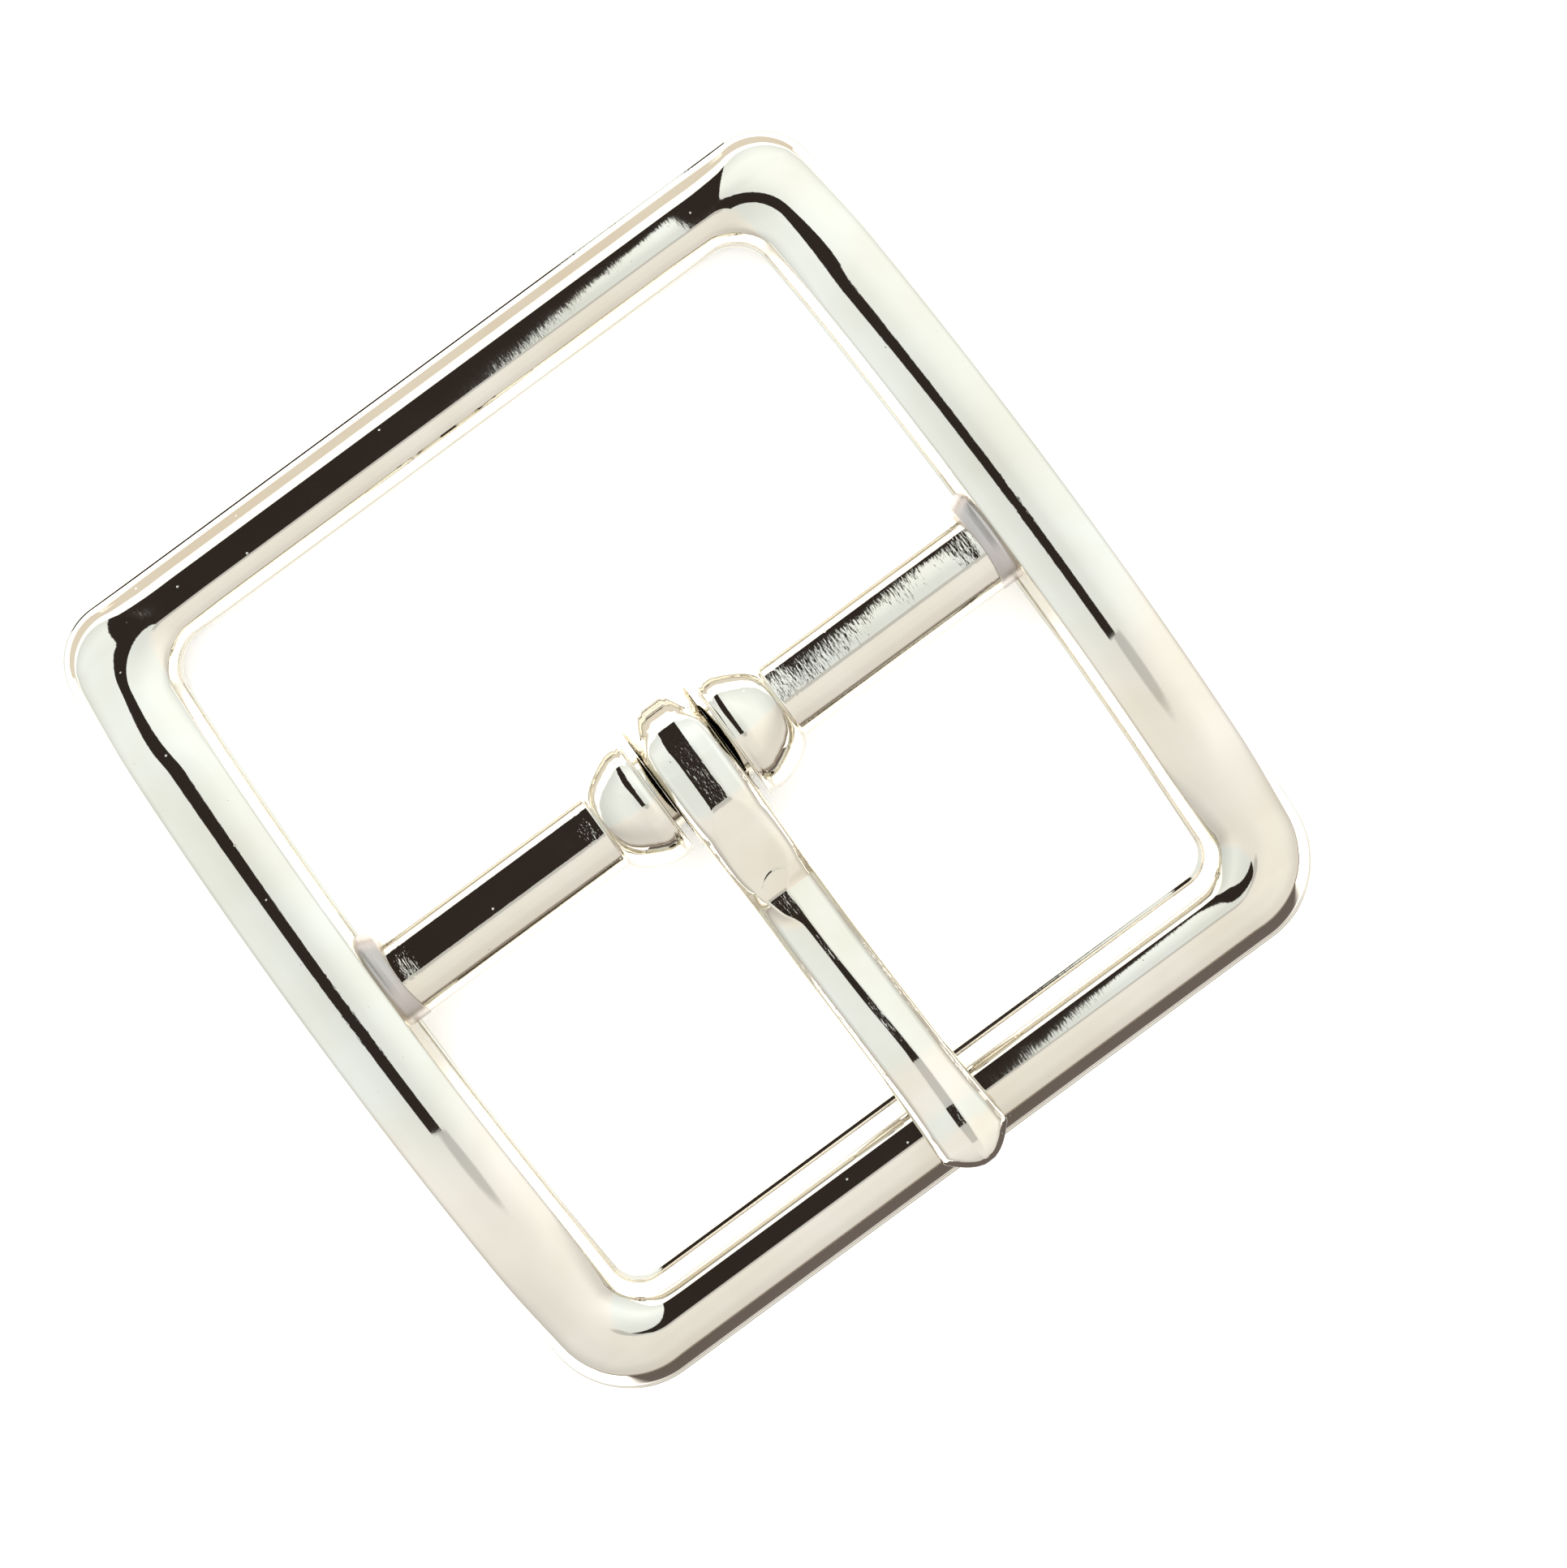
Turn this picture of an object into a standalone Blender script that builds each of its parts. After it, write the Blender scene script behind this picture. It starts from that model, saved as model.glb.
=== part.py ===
"""Square centre-bar buckle for a 38 mm strap: a cast frame, and the curled tongue that turns on its bar.

Metres, +Z up. The frame lies on its back at z = 0. +X runs along the centre bar, +Y points to the heel bar,
and the origin is the middle of the buckle's outline, tongue included.
"""

import math
from collections import namedtuple

import bmesh
import bpy
from mathutils import Vector

MM = 0.001

# Sizes of the cast frame, seen from above
STRAP_WINDOW_WIDTH = 39.15 * MM
SIDE_BAR_WIDTH = 5.5 * MM
HEEL_BAR_WIDTH = 4.5 * MM
FRONT_BAR_WIDTH = 5.25 * MM
HEEL_WINDOW_LENGTH = 18.95 * MM
FRONT_WINDOW_LENGTH = 18.2 * MM
SIDE_BOW = 0.86 * MM
HEEL_CORNER_RADIUS = 3.4 * MM
FRONT_CORNER_RADIUS = 5.0 * MM
HEEL_WINDOW_RADIUS = 2.2 * MM
FRONT_WINDOW_RADIUS = 1.6 * MM

# Heights of the bars, that of the side bars where the centre bar meets them
SIDE_BAR_HEIGHT = 5.15 * MM
HEEL_BAR_HEIGHT = 4.2 * MM
FRONT_BAR_HEIGHT = 4.25 * MM

# Centre bar, its two end bosses and its two collars
CENTRE_BAR_WIDTH = 4.65 * MM
CENTRE_BAR_HEIGHT = 4.1 * MM
BOSS_LENGTH = 0.75 * MM
BOSS_STEP_HEEL = 0.85 * MM
BOSS_STEP_FRONT = 0.2 * MM
BOSS_STEP_TOP = 0.06 * MM
BOSS_COVER = 0.12 * MM
BOSS_DRAFT = math.radians(11)
BOSS_ROUNDNESS = 0.75
COLLAR_RISE = 1.425 * MM
COLLAR_TOE_RISE = 0.1 * MM
COLLAR_TOE_LENGTH = 0.3 * MM
COLLAR_LENGTH = 3.3 * MM
COLLAR_EDGE = 0.15 * MM
COLLAR_FACE_DRAFT = 0.08 * MM

# Tongue
LOOP_WIDTH = 4.13 * MM
LOOP_WALL = 1.5 * MM
LOOP_HEEL_WALL = 2.1 * MM
LOOP_TAIL_WALL = 1.3 * MM
LOOP_SLACK = 0.875 * MM
LOOP_CROWN = 0.12 * MM
CROWN_STRIP = 1.2 * MM
CROWN_REACH = 1.2 * MM
NECK_LENGTH = 8.3 * MM
PRONG_WIDTH = 3.87 * MM
PRONG_THICKNESS = 2.4 * MM
PRONG_RIDGE = 0.4 * MM
EDGE_CHAMFER_WIDTH = 0.5 * MM
EDGE_CHAMFER_DEPTH = 0.5 * MM
UNDERSIDE_CHAMFER = 0.25 * MM
TIP_OVERHANG = 0.55 * MM

# Clearances between the two pieces, and under the curl
BAR_CLEARANCE = 0.3 * MM
COLLAR_CLEARANCE = 0.41 * MM
REST_CLEARANCE = 0.3 * MM
TAIL_CLEARANCE = 0.3 * MM
FLOOR_CLEARANCE = 0.075 * MM

# Numbers of steps
END_BAR_STEPS = 3
CORNER_STEPS = 6
SIDE_BAR_STEPS = 14
ROUND_SIDES = 32
DOME_STEPS = 6
CURL_STEPS = 18
NECK_ARC_STEPS = 4
NECK_STEPS = 5
SHARP_ANGLE = math.radians(35)

# How quickly the arched back flattens out towards the end bars
ARCH_EASE = 1.25

# Most of the hole's radius that the prong's underside may stand above the bar's axis where the neck leaves it
NECK_LEAVES_BY = 0.9

FRAME_COLOUR = (0.80, 0.78, 0.72)
FRAME_ROUGHNESS = 0.12
TONGUE_COLOUR = (0.82, 0.80, 0.75)
TONGUE_ROUGHNESS = 0.10

# A bar's section, from its outer edge over the crest to its inner edge and along its flat back.
# Across is a share of the bar's width from the outer edge, up is a share of its height.
SectionPoint = namedtuple("SectionPoint", "name side_across side_up end_across end_up")
BAR_SECTION = (
    SectionPoint("back_outer", 0.10, 0.00, 0.10, 0.00),
    SectionPoint("foot_outer", 0.015, 0.10, 0.015, 0.10),
    SectionPoint("belly_outer", 0.00, 0.30, 0.00, 0.28),
    SectionPoint("wall_outer", 0.015, 0.58, 0.02, 0.50),
    SectionPoint("shoulder_outer", 0.07, 0.79, 0.10, 0.74),
    SectionPoint("eave_outer", 0.13, 0.845, 0.18, 0.84),
    SectionPoint("flank_outer", 0.30, 0.925, 0.33, 0.945),
    SectionPoint("brow_outer", 0.44, 0.985, 0.47, 0.992),
    SectionPoint("crest", 0.50, 1.00, 0.55, 1.00),
    SectionPoint("brow_inner", 0.56, 0.985, 0.63, 0.992),
    SectionPoint("flank_inner", 0.70, 0.925, 0.75, 0.945),
    SectionPoint("eave_inner", 0.84, 0.845, 0.86, 0.84),
    SectionPoint("shoulder_inner", 0.885, 0.79, 0.91, 0.74),
    SectionPoint("wall_inner", 0.955, 0.55, 0.97, 0.50),
    SectionPoint("belly_inner", 1.00, 0.28, 1.00, 0.26),
    SectionPoint("foot_inner", 0.985, 0.10, 0.985, 0.10),
    SectionPoint("back_inner", 0.90, 0.00, 0.90, 0.00),
)

# The prong from the neck to the tip. Reach is a share of the way from the neck's end to the tip, width and
# strip, the half width of the ridge's flat, are shares of the prong's width, under and top are shares of its
# thickness above the line where it rests on the front bar, and gable is a share of the ridge's height.
ProngSection = namedtuple("ProngSection", "name reach width under top strip gable")
PRONG_SECTIONS = (
    ProngSection("neck_end", 0.00, 1.00, 0.08, 1.055, 0.30, 0.15),
    ProngSection("ridge_start", 0.10, 1.00, 0.08, 1.05, 0.10, 0.80),
    ProngSection("ridge", 0.21, 1.00, 0.08, 1.05, 0.06, 1.00),
    ProngSection("middle", 0.41, 1.00, 0.08, 1.05, 0.06, 1.00),
    ProngSection("fore", 0.65, 1.00, 0.08, 1.045, 0.06, 1.00),
    ProngSection("dip", 0.74, 1.01, 0.04, 1.01, 0.065, 1.00),
    ProngSection("seat", 0.81, 1.03, 0.00, 0.97, 0.065, 1.00),
    ProngSection("flat", 0.86, 1.05, 0.00, 0.96, 0.065, 1.00),
    ProngSection("shoulder", 0.925, 1.085, 0.02, 0.92, 0.065, 0.95),
    ProngSection("bevel", 0.955, 0.90, 0.05, 0.87, 0.06, 0.85),
    ProngSection("nose", 0.985, 0.60, 0.10, 0.80, 0.06, 0.60),
    ProngSection("end", 1.00, 0.34, 0.18, 0.70, 0.05, 0.40),
)

# Places worked out from the sizes
half_window = STRAP_WINDOW_WIDTH / 2
half_width = half_window + SIDE_BAR_WIDTH
half_bar_width = CENTRE_BAR_WIDTH / 2
half_bar_height = CENTRE_BAR_HEIGHT / 2
heel_reach = half_bar_width + HEEL_WINDOW_LENGTH + HEEL_BAR_WIDTH
front_reach = half_bar_width + FRONT_WINDOW_LENGTH + FRONT_BAR_WIDTH
half_length = (heel_reach + front_reach) / 2
tongue_reach = front_reach + TIP_OVERHANG
bar_y = (tongue_reach - heel_reach) / 2
hole_radius = max(half_bar_width, half_bar_height) + BAR_CLEARANCE
axis_z = FLOOR_CLEARANCE + LOOP_WALL + hole_radius
arch_rise = axis_z - half_bar_height - BOSS_STEP_TOP - BOSS_COVER
arch_reach = min(
    heel_reach - HEEL_BAR_WIDTH * BAR_SECTION[-1].end_across,
    front_reach - FRONT_BAR_WIDTH * BAR_SECTION[-1].end_across,
)
collar_face_x = LOOP_WIDTH / 2 + COLLAR_CLEARANCE
collar_radius = half_bar_width + COLLAR_RISE
collar_toe_radius = half_bar_width + COLLAR_TOE_RISE
rest_z = FRONT_BAR_HEIGHT + REST_CLEARANCE - axis_z
loop_top = hole_radius + LOOP_WALL
prong_top = rest_z + PRONG_SECTIONS[0].top * PRONG_THICKNESS
prong_under = rest_z + PRONG_SECTIONS[0].under * PRONG_THICKNESS
tail_rise = (prong_under - TAIL_CLEARANCE) / (hole_radius + LOOP_TAIL_WALL)
tail_angle = -180 - math.degrees(math.asin(min(max(tail_rise, -1.0), 1.0)))


def clear_scene():
    for old in list(bpy.data.objects):
        bpy.data.objects.remove(old, do_unlink=True)


def nickel_plate(name, colour, roughness):
    material = bpy.data.materials.new(name)
    material.use_nodes = True
    shader = material.node_tree.nodes["Principled BSDF"]
    shader.inputs["Base Color"].default_value = (*colour, 1.0)
    shader.inputs["Metallic"].default_value = 1.0
    shader.inputs["Roughness"].default_value = roughness
    return material


def add_object(name, bm, material, location=(0.0, 0.0, 0.0)):
    bmesh.ops.recalc_face_normals(bm, faces=bm.faces[:])
    mesh = bpy.data.meshes.new(name)
    bm.to_mesh(mesh)
    bm.free()
    mesh.shade_smooth()
    mesh.set_sharp_from_angle(angle=SHARP_ANGLE)
    mesh.materials.append(material)
    obj = bpy.data.objects.new(name, mesh)
    obj.location = location
    bpy.context.scene.collection.objects.link(obj)
    return obj


def add_ring(bm, points):
    """A closed loop of vertices and edges through the points."""
    corners = [bm.verts.new(point) for point in points]
    return [bm.edges.new((corners[i - 1], corners[i])) for i in range(len(corners))]


def skin(bm, rings, closed=False):
    """Bridges each ring to the next one, and the last to the first where closed, else caps both ends."""
    pairs = list(zip(rings, rings[1:]))
    if closed:
        pairs.append((rings[-1], rings[0]))
    for first, second in pairs:
        bmesh.ops.bridge_loops(bm, edges=first + second)
    if not closed:
        bmesh.ops.holes_fill(bm, edges=rings[0] + rings[-1], sides=0)


def smooth_step(share):
    share = min(max(share, 0.0), 1.0)
    return share * share * (3 - 2 * share)


def end_share(y):
    """Share of the way from the centre bar's axis to where an end bar's flat back begins."""
    return min(abs(y) / arch_reach, 1.0)


def arch(y):
    """How far the frame's back stands off the table: flat under both end bars, highest at the centre bar."""
    return arch_rise * (1 - end_share(y) ** 2) ** ARCH_EASE


def bar_height(y):
    """Height of the bars, which changes evenly from the middle of a side bar to either end bar."""
    end_height = HEEL_BAR_HEIGHT if y > 0 else FRONT_BAR_HEIGHT
    return SIDE_BAR_HEIGHT + (end_height - SIDE_BAR_HEIGHT) * end_share(y) ** 2


def side_slope(y):
    """Angle of the bowed side's outward normal above +X, for a place on the heel side of the bar."""
    return math.atan(2 * SIDE_BOW * y / half_length**2)


def corner_points(centre, radius, start, stop):
    """Points round a corner from one angle towards the other, which is the first point of what follows."""
    turns = [start + (stop - start) * i / CORNER_STEPS for i in range(CORNER_STEPS)]
    return [centre + Vector((math.cos(turn), math.sin(turn))) * radius for turn in turns]


def half_rail(half_width_here, heel_edge, front_edge, heel_radius, front_radius):
    """Points from the middle of the front bar round the +X side to the middle of the heel bar."""

    def side_x(y):
        return half_width_here - SIDE_BOW * (y / half_length) ** 2

    heel_slope = side_slope(heel_edge - heel_radius)
    front_slope = side_slope(front_edge - front_radius)
    heel_start = heel_edge - heel_radius * (1 - math.sin(heel_slope))
    front_start = front_edge - front_radius * (1 - math.sin(front_slope))
    heel_centre = Vector((side_x(heel_start) - heel_radius * math.cos(heel_slope), heel_edge - heel_radius))
    front_centre = Vector(
        (side_x(front_start) - front_radius * math.cos(front_slope), front_radius - front_edge)
    )
    quarter = math.pi / 2
    rail = [Vector((front_centre.x * i / END_BAR_STEPS, -front_edge)) for i in range(END_BAR_STEPS)]
    rail += corner_points(front_centre, front_radius, -quarter, -front_slope)
    for i in range(SIDE_BAR_STEPS):
        y = -front_start + (heel_start + front_start) * i / SIDE_BAR_STEPS
        rail.append(Vector((side_x(y), y)))
    rail += corner_points(heel_centre, heel_radius, heel_slope, quarter)
    for i in range(END_BAR_STEPS + 1):
        rail.append(Vector((heel_centre.x * (1 - i / END_BAR_STEPS), heel_edge)))
    return rail


def end_bar_shares():
    """For each place along half a rail, how much of its section is an end bar's and not a side bar's."""
    shares = [1.0] * END_BAR_STEPS
    shares += [1 - smooth_step(i / CORNER_STEPS) for i in range(CORNER_STEPS)]
    shares += [0.0] * SIDE_BAR_STEPS
    shares += [smooth_step(i / CORNER_STEPS) for i in range(CORNER_STEPS)]
    shares += [1.0] * (END_BAR_STEPS + 1)
    return shares


def bar_ring(outer, inner, end_bar):
    """The section of the frame between a point of the outer rail and one of the inner rail."""
    ring = []
    for point in BAR_SECTION:
        across = point.side_across + (point.end_across - point.side_across) * end_bar
        up = point.side_up + (point.end_up - point.side_up) * end_bar
        place = outer.lerp(inner, across)
        ring.append((place.x, place.y + bar_y, arch(place.y) + up * bar_height(place.y)))
    return ring


def bars(material):
    """The heel bar, the front bar and the two bowed side bars as one closed ring."""
    outer = half_rail(half_width, heel_reach, front_reach, HEEL_CORNER_RADIUS, FRONT_CORNER_RADIUS)
    inner = half_rail(
        half_window,
        heel_reach - HEEL_BAR_WIDTH,
        front_reach - FRONT_BAR_WIDTH,
        HEEL_WINDOW_RADIUS,
        FRONT_WINDOW_RADIUS,
    )
    right = [bar_ring(*place) for place in zip(outer, inner, end_bar_shares())]
    left = [[(-x, y, z) for x, y, z in ring] for ring in right[-2:0:-1]]
    bm = bmesh.new()
    skin(bm, [add_ring(bm, ring) for ring in right + left], closed=True)
    return add_object("frame", bm, material)


def oval(x, half_y, half_z):
    turns = [2 * math.pi * i / ROUND_SIDES for i in range(ROUND_SIDES)]
    return [(x, bar_y + half_y * math.cos(turn), axis_z + half_z * math.sin(turn)) for turn in turns]


def half_bar_rings():
    """Rings of the centre bar from inside a side bar to the middle: bar, collar's toe, dome and face, bar."""
    dome_length = COLLAR_LENGTH - COLLAR_TOE_LENGTH - COLLAR_EDGE
    rings = [
        (half_window + SIDE_BAR_WIDTH / 2, half_bar_width, half_bar_height),
        (collar_face_x + COLLAR_LENGTH, half_bar_width, half_bar_height),
    ]
    for i in range(DOME_STEPS + 1):
        turn = math.pi / 2 * i / DOME_STEPS
        radius = collar_toe_radius + (collar_radius - collar_toe_radius) * math.sin(turn)
        rings.append((collar_face_x + COLLAR_EDGE + dome_length * math.cos(turn), radius, radius))
    rings.append((collar_face_x, collar_radius - COLLAR_EDGE, collar_radius - COLLAR_EDGE))
    rings.append((collar_face_x + COLLAR_FACE_DRAFT, half_bar_width, half_bar_height))
    return rings


def centre_bar(material):
    """The oval centre bar with its two domed collars, whose ends are sunk in the side bars."""
    right = half_bar_rings()
    left = [(-x, half_y, half_z) for x, half_y, half_z in reversed(right)]
    bm = bmesh.new()
    skin(bm, [add_ring(bm, oval(*ring)) for ring in right + left])
    return add_object("centre_bar_shape", bm, material)


def boss(name, side, material):
    """The step between a side bar and the centre bar, whose end leans back above and below the bar's axis."""
    half_y = half_bar_width + (BOSS_STEP_HEEL + BOSS_STEP_FRONT) / 2
    half_z = half_bar_height + BOSS_STEP_TOP
    middle_y = bar_y + (BOSS_STEP_HEEL - BOSS_STEP_FRONT) / 2
    end_x = half_window - BOSS_LENGTH
    bm = bmesh.new()
    for i in range(ROUND_SIDES):
        turn = 2 * math.pi * i / ROUND_SIDES
        y = middle_y + half_y * math.copysign(abs(math.cos(turn)) ** BOSS_ROUNDNESS, math.cos(turn))
        rise = half_z * math.copysign(abs(math.sin(turn)) ** BOSS_ROUNDNESS, math.sin(turn))
        bm.verts.new((side * (half_window + SIDE_BAR_WIDTH / 2), y, axis_z + rise))
        bm.verts.new((side * (end_x + abs(rise) * math.tan(BOSS_DRAFT)), y, axis_z + rise))
    bmesh.ops.convex_hull(bm, input=bm.verts[:])
    return add_object(name, bm, material)


def join(target, helper):
    """Joins a helper shape to the target by a Boolean union and keeps the helper out of the model."""
    modifier = target.modifiers.new("join_" + helper.name, "BOOLEAN")
    modifier.operation = "UNION"
    modifier.solver = "EXACT"
    modifier.object = helper
    helper.hide_render = True
    helper.display_type = "WIRE"


def frame(material):
    """The one-piece casting: bars, centre bar with collars, and the two end bosses."""
    casting = bars(material)
    join(casting, centre_bar(material))
    join(casting, boss("boss_left_shape", -1, material))
    join(casting, boss("boss_right_shape", 1, material))
    return casting


def strip_ring(under, top, width, strip, gable):
    """A section of the tongue: chamfered underside, upright edges, chamfers, and a gabled or flat top."""
    thickness = (top - under).length
    normal = (top - under).normalized()
    half = width / 2
    shoulder = thickness - gable
    chamfer = min(EDGE_CHAMFER_WIDTH, half - strip)
    side = [
        (half - UNDERSIDE_CHAMFER, 0.0),
        (half, UNDERSIDE_CHAMFER),
        (half, max(shoulder - EDGE_CHAMFER_DEPTH, 2 * UNDERSIDE_CHAMFER)),
        (half - chamfer, shoulder),
        (strip, thickness),
    ]
    outline = side + [(-x, up) for x, up in reversed(side)]
    return [(x, under.x + normal.x * up, under.y + normal.y * up) for x, up in outline]


def curl_section(angle):
    """Under and top points of the curl at an angle round the bar from the heel side, from the bar's axis."""
    turn = math.radians(angle)
    towards = Vector((math.cos(turn), math.sin(turn)))
    if abs(angle) <= 90:
        centre = Vector((LOOP_SLACK, 0.0))
        wall = LOOP_WALL + (LOOP_HEEL_WALL - LOOP_WALL) * math.cos(turn) ** 2
    else:
        centre = Vector((0.0, 0.0))
        wall = LOOP_WALL + (LOOP_TAIL_WALL - LOOP_WALL) * (-90 - angle) / (-90 - tail_angle)
    return centre + towards * hole_radius, centre + towards * (hole_radius + wall)


def neck_reaches():
    """Distances from the bar's axis of the neck's sections: round the bar, then on to the neck's end."""
    leaving = math.acos(min(max(prong_under / hole_radius, 0.0), NECK_LEAVES_BY))
    arc = [hole_radius * math.sin(leaving * i / NECK_ARC_STEPS) for i in range(NECK_ARC_STEPS + 1)]
    return arc + [arc[-1] + (NECK_LENGTH - arc[-1]) * i / NECK_STEPS for i in range(1, NECK_STEPS)]


def neck_section(reach):
    """Under and top points of the neck, whose underside follows the bar's hole down to the prong's."""
    under = max(math.sqrt(max(hole_radius**2 - reach**2, 0.0)), prong_under)
    fall = smooth_step((reach - CROWN_REACH) / (NECK_LENGTH - CROWN_REACH))
    return Vector((-reach, under)), Vector((-reach, loop_top + (prong_top - loop_top) * fall))


def tongue_rings():
    """Sections from the tip along the prong and neck, over the bar, round behind it and under it."""
    rings = []
    for section in reversed(PRONG_SECTIONS):
        y = -NECK_LENGTH - section.reach * (tongue_reach - NECK_LENGTH)
        under = Vector((y, rest_z + section.under * PRONG_THICKNESS))
        top = Vector((y, rest_z + section.top * PRONG_THICKNESS))
        strip = section.strip * PRONG_WIDTH
        rings.append(strip_ring(under, top, section.width * PRONG_WIDTH, strip, section.gable * PRONG_RIDGE))
    for reach in reversed(neck_reaches()):
        under, top = neck_section(reach)
        width = LOOP_WIDTH + (PRONG_WIDTH - LOOP_WIDTH) * smooth_step(reach / NECK_LENGTH)
        rings.append(strip_ring(under, top, width, CROWN_STRIP, LOOP_CROWN))
    for i in range(1, CURL_STEPS + 1):
        under, top = curl_section(90 + (tail_angle - 90) * i / CURL_STEPS)
        rings.append(strip_ring(under, top, LOOP_WIDTH, CROWN_STRIP, LOOP_CROWN))
    return rings


def tongue(material):
    """The tongue as one bent strip, whose origin is on the centre bar's axis."""
    bm = bmesh.new()
    skin(bm, [add_ring(bm, ring) for ring in tongue_rings()])
    return add_object("tongue", bm, material, location=(0.0, bar_y, axis_z))


def main():
    clear_scene()
    frame(nickel_plate("nickel_plated_frame_casting", FRAME_COLOUR, FRAME_ROUGHNESS))
    tongue(nickel_plate("nickel_plated_tongue", TONGUE_COLOUR, TONGUE_ROUGHNESS))


main()
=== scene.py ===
"""Looks of the square centre-bar buckle: smooth plated surfaces, a pale table and a soft studio around them.

Sizes are millimetres in the buckle's own frame and become metres where a mesh is made. +X runs along the
centre bar, +Y points to the heel bar, +Z is up, and the buckle lies on its back at z = 0.
"""

import logging
import math
from dataclasses import dataclass
from enum import Enum
from functools import partial
from typing import Any, NamedTuple

import bpy
import numpy as np
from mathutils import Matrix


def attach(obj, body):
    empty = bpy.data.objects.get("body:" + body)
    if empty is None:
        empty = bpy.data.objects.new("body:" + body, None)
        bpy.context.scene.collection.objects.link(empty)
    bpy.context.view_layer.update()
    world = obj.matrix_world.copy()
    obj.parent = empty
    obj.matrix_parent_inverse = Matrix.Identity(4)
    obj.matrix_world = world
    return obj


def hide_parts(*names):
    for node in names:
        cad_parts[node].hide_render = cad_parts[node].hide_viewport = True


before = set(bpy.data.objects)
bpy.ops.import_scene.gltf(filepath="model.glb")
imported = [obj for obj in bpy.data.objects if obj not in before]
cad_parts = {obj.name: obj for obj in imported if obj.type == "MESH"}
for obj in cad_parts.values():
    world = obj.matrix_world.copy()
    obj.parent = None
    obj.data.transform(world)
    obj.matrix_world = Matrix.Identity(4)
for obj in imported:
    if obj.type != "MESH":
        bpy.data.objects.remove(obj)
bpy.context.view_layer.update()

MM = 0.001
MICRON = 1e-6

logging.basicConfig(level=logging.INFO, format="%(levelname)s %(message)s")
log = logging.getLogger("buckle")

Array = np.ndarray
Colour = tuple[float, float, float, float]
Light = tuple[float, float, float]
Piece = bpy.types.Object
Material = bpy.types.Material
Tree = bpy.types.NodeTree
Socket = bpy.types.NodeSocket

# The nodes that are used over and over. A Mix node has its colour sockets behind the plain ones.
MATH, RANGE, NOISE, MIX = "ShaderNodeMath", "ShaderNodeMapRange", "ShaderNodeTexNoise", "ShaderNodeMix"
MIX_A, MIX_B, MIX_OUT = 6, 7, 2
SMOOTH = {"interpolation_type": "SMOOTHSTEP"}


def linear_colour(hex_code: str) -> Colour:
    """Turns an sRGB hex colour into linear light.

    Args:
        hex_code: six hex digits, with or without a leading hash.

    Returns:
        Red, green, blue and an alpha of one.
    """
    digits = hex_code.lstrip("#")
    channels = [int(digits[i : i + 2], 16) / 255 for i in (0, 2, 4)]
    light = [c / 12.92 if c <= 0.04045 else ((c + 0.055) / 1.055) ** 2.4 for c in channels]
    return (light[0], light[1], light[2], 1.0)


def add_node(tree: Tree, kind: str, inputs: dict | tuple, out: int | str = 0, **settings: Any) -> Socket:
    """Adds a shader node, sets it up and wires it.

    Args:
        tree: the tree that gets the node.
        kind: Blender's name for the node type.
        inputs: values, or output sockets that feed it: a row for the first inputs, or by name or number.
        out: name or number of the output to give back.
        settings: properties of the node itself.

    Returns:
        One output of the new node.
    """
    node = tree.nodes.new(kind)
    for name, value in settings.items():
        setattr(node, name, value)
    for socket, value in inputs.items() if isinstance(inputs, dict) else enumerate(inputs):
        if isinstance(value, Socket):
            tree.links.new(value, node.inputs[socket])
        else:
            node.inputs[socket].default_value = value
    return node.outputs[out]


def new_material(name: str) -> tuple[Material, Tree]:
    """Makes a node material.

    Args:
        name: name of the finish.

    Returns:
        The material and its tree of nodes.
    """
    material = bpy.data.materials.new(name)
    material.use_nodes = True
    return material, material.node_tree


def placed(name: str, data: Any) -> Piece:
    """Makes an object and links it to the scene.

    Args:
        name: name of the object.
        data: its mesh, lamp or camera.

    Returns:
        The object, at the origin.
    """
    piece = bpy.data.objects.new(name, data)
    bpy.context.scene.collection.objects.link(piece)
    return piece


def eased(share: Array) -> Array:
    """Smooth step: three times the square less twice the cube of the share, held between zero and one."""
    held = np.clip(share, 0.0, 1.0)
    return held * held * (3 - 2 * held)


class Turn(Enum):
    """How a curve passes a station where its values turn back."""

    ROUND = "round"
    LEVEL = "level"


def through(places: Array, values: Array, at: Array, turn: Turn = Turn.LEVEL) -> Array:
    """Curve through stations.

    Between two stations it is the cubic with a given slope at either end. A slope is the mean of the two
    chords that meet there, and for Turn.LEVEL their harmonic mean, which is zero where the values turn back.

    Args:
        places: rising places of the stations.
        values: one row of values per station.
        at: places where the curve is wanted.
        turn: how the curve passes a turning point.

    Returns:
        One row of values per wanted place.
    """
    places = np.asarray(places, float)
    rows = np.asarray(values, float).reshape(len(places), -1)
    steps = np.diff(places)[:, None]
    chords = np.diff(rows, axis=0) / steps
    slopes = np.empty_like(rows)
    slopes[0], slopes[-1] = chords[0], chords[-1]
    before, after = chords[:-1], chords[1:]
    if turn is Turn.ROUND:
        slopes[1:-1] = (before * steps[1:] + after * steps[:-1]) / (steps[:-1] + steps[1:])
    else:
        same = before * after > 0
        total = np.where(same, before + after, 1.0)
        slopes[1:-1] = np.where(same, 2 * before * after / total, 0.0)
    wanted = np.clip(np.asarray(at, float), places[0], places[-1])
    i = np.clip(np.searchsorted(places, wanted, side="right") - 1, 0, len(places) - 2)
    step = steps[i]
    t = (wanted[:, None] - places[i][:, None]) / step
    curve = (
        (2 * t**3 - 3 * t**2 + 1) * rows[i]
        + (t**3 - 2 * t**2 + t) * step * slopes[i]
        + (3 * t**2 - 2 * t**3) * rows[i + 1]
        + (t**3 - t**2) * step * slopes[i + 1]
    )
    return curve[:, 0] if np.ndim(values) == 1 else curve


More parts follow.
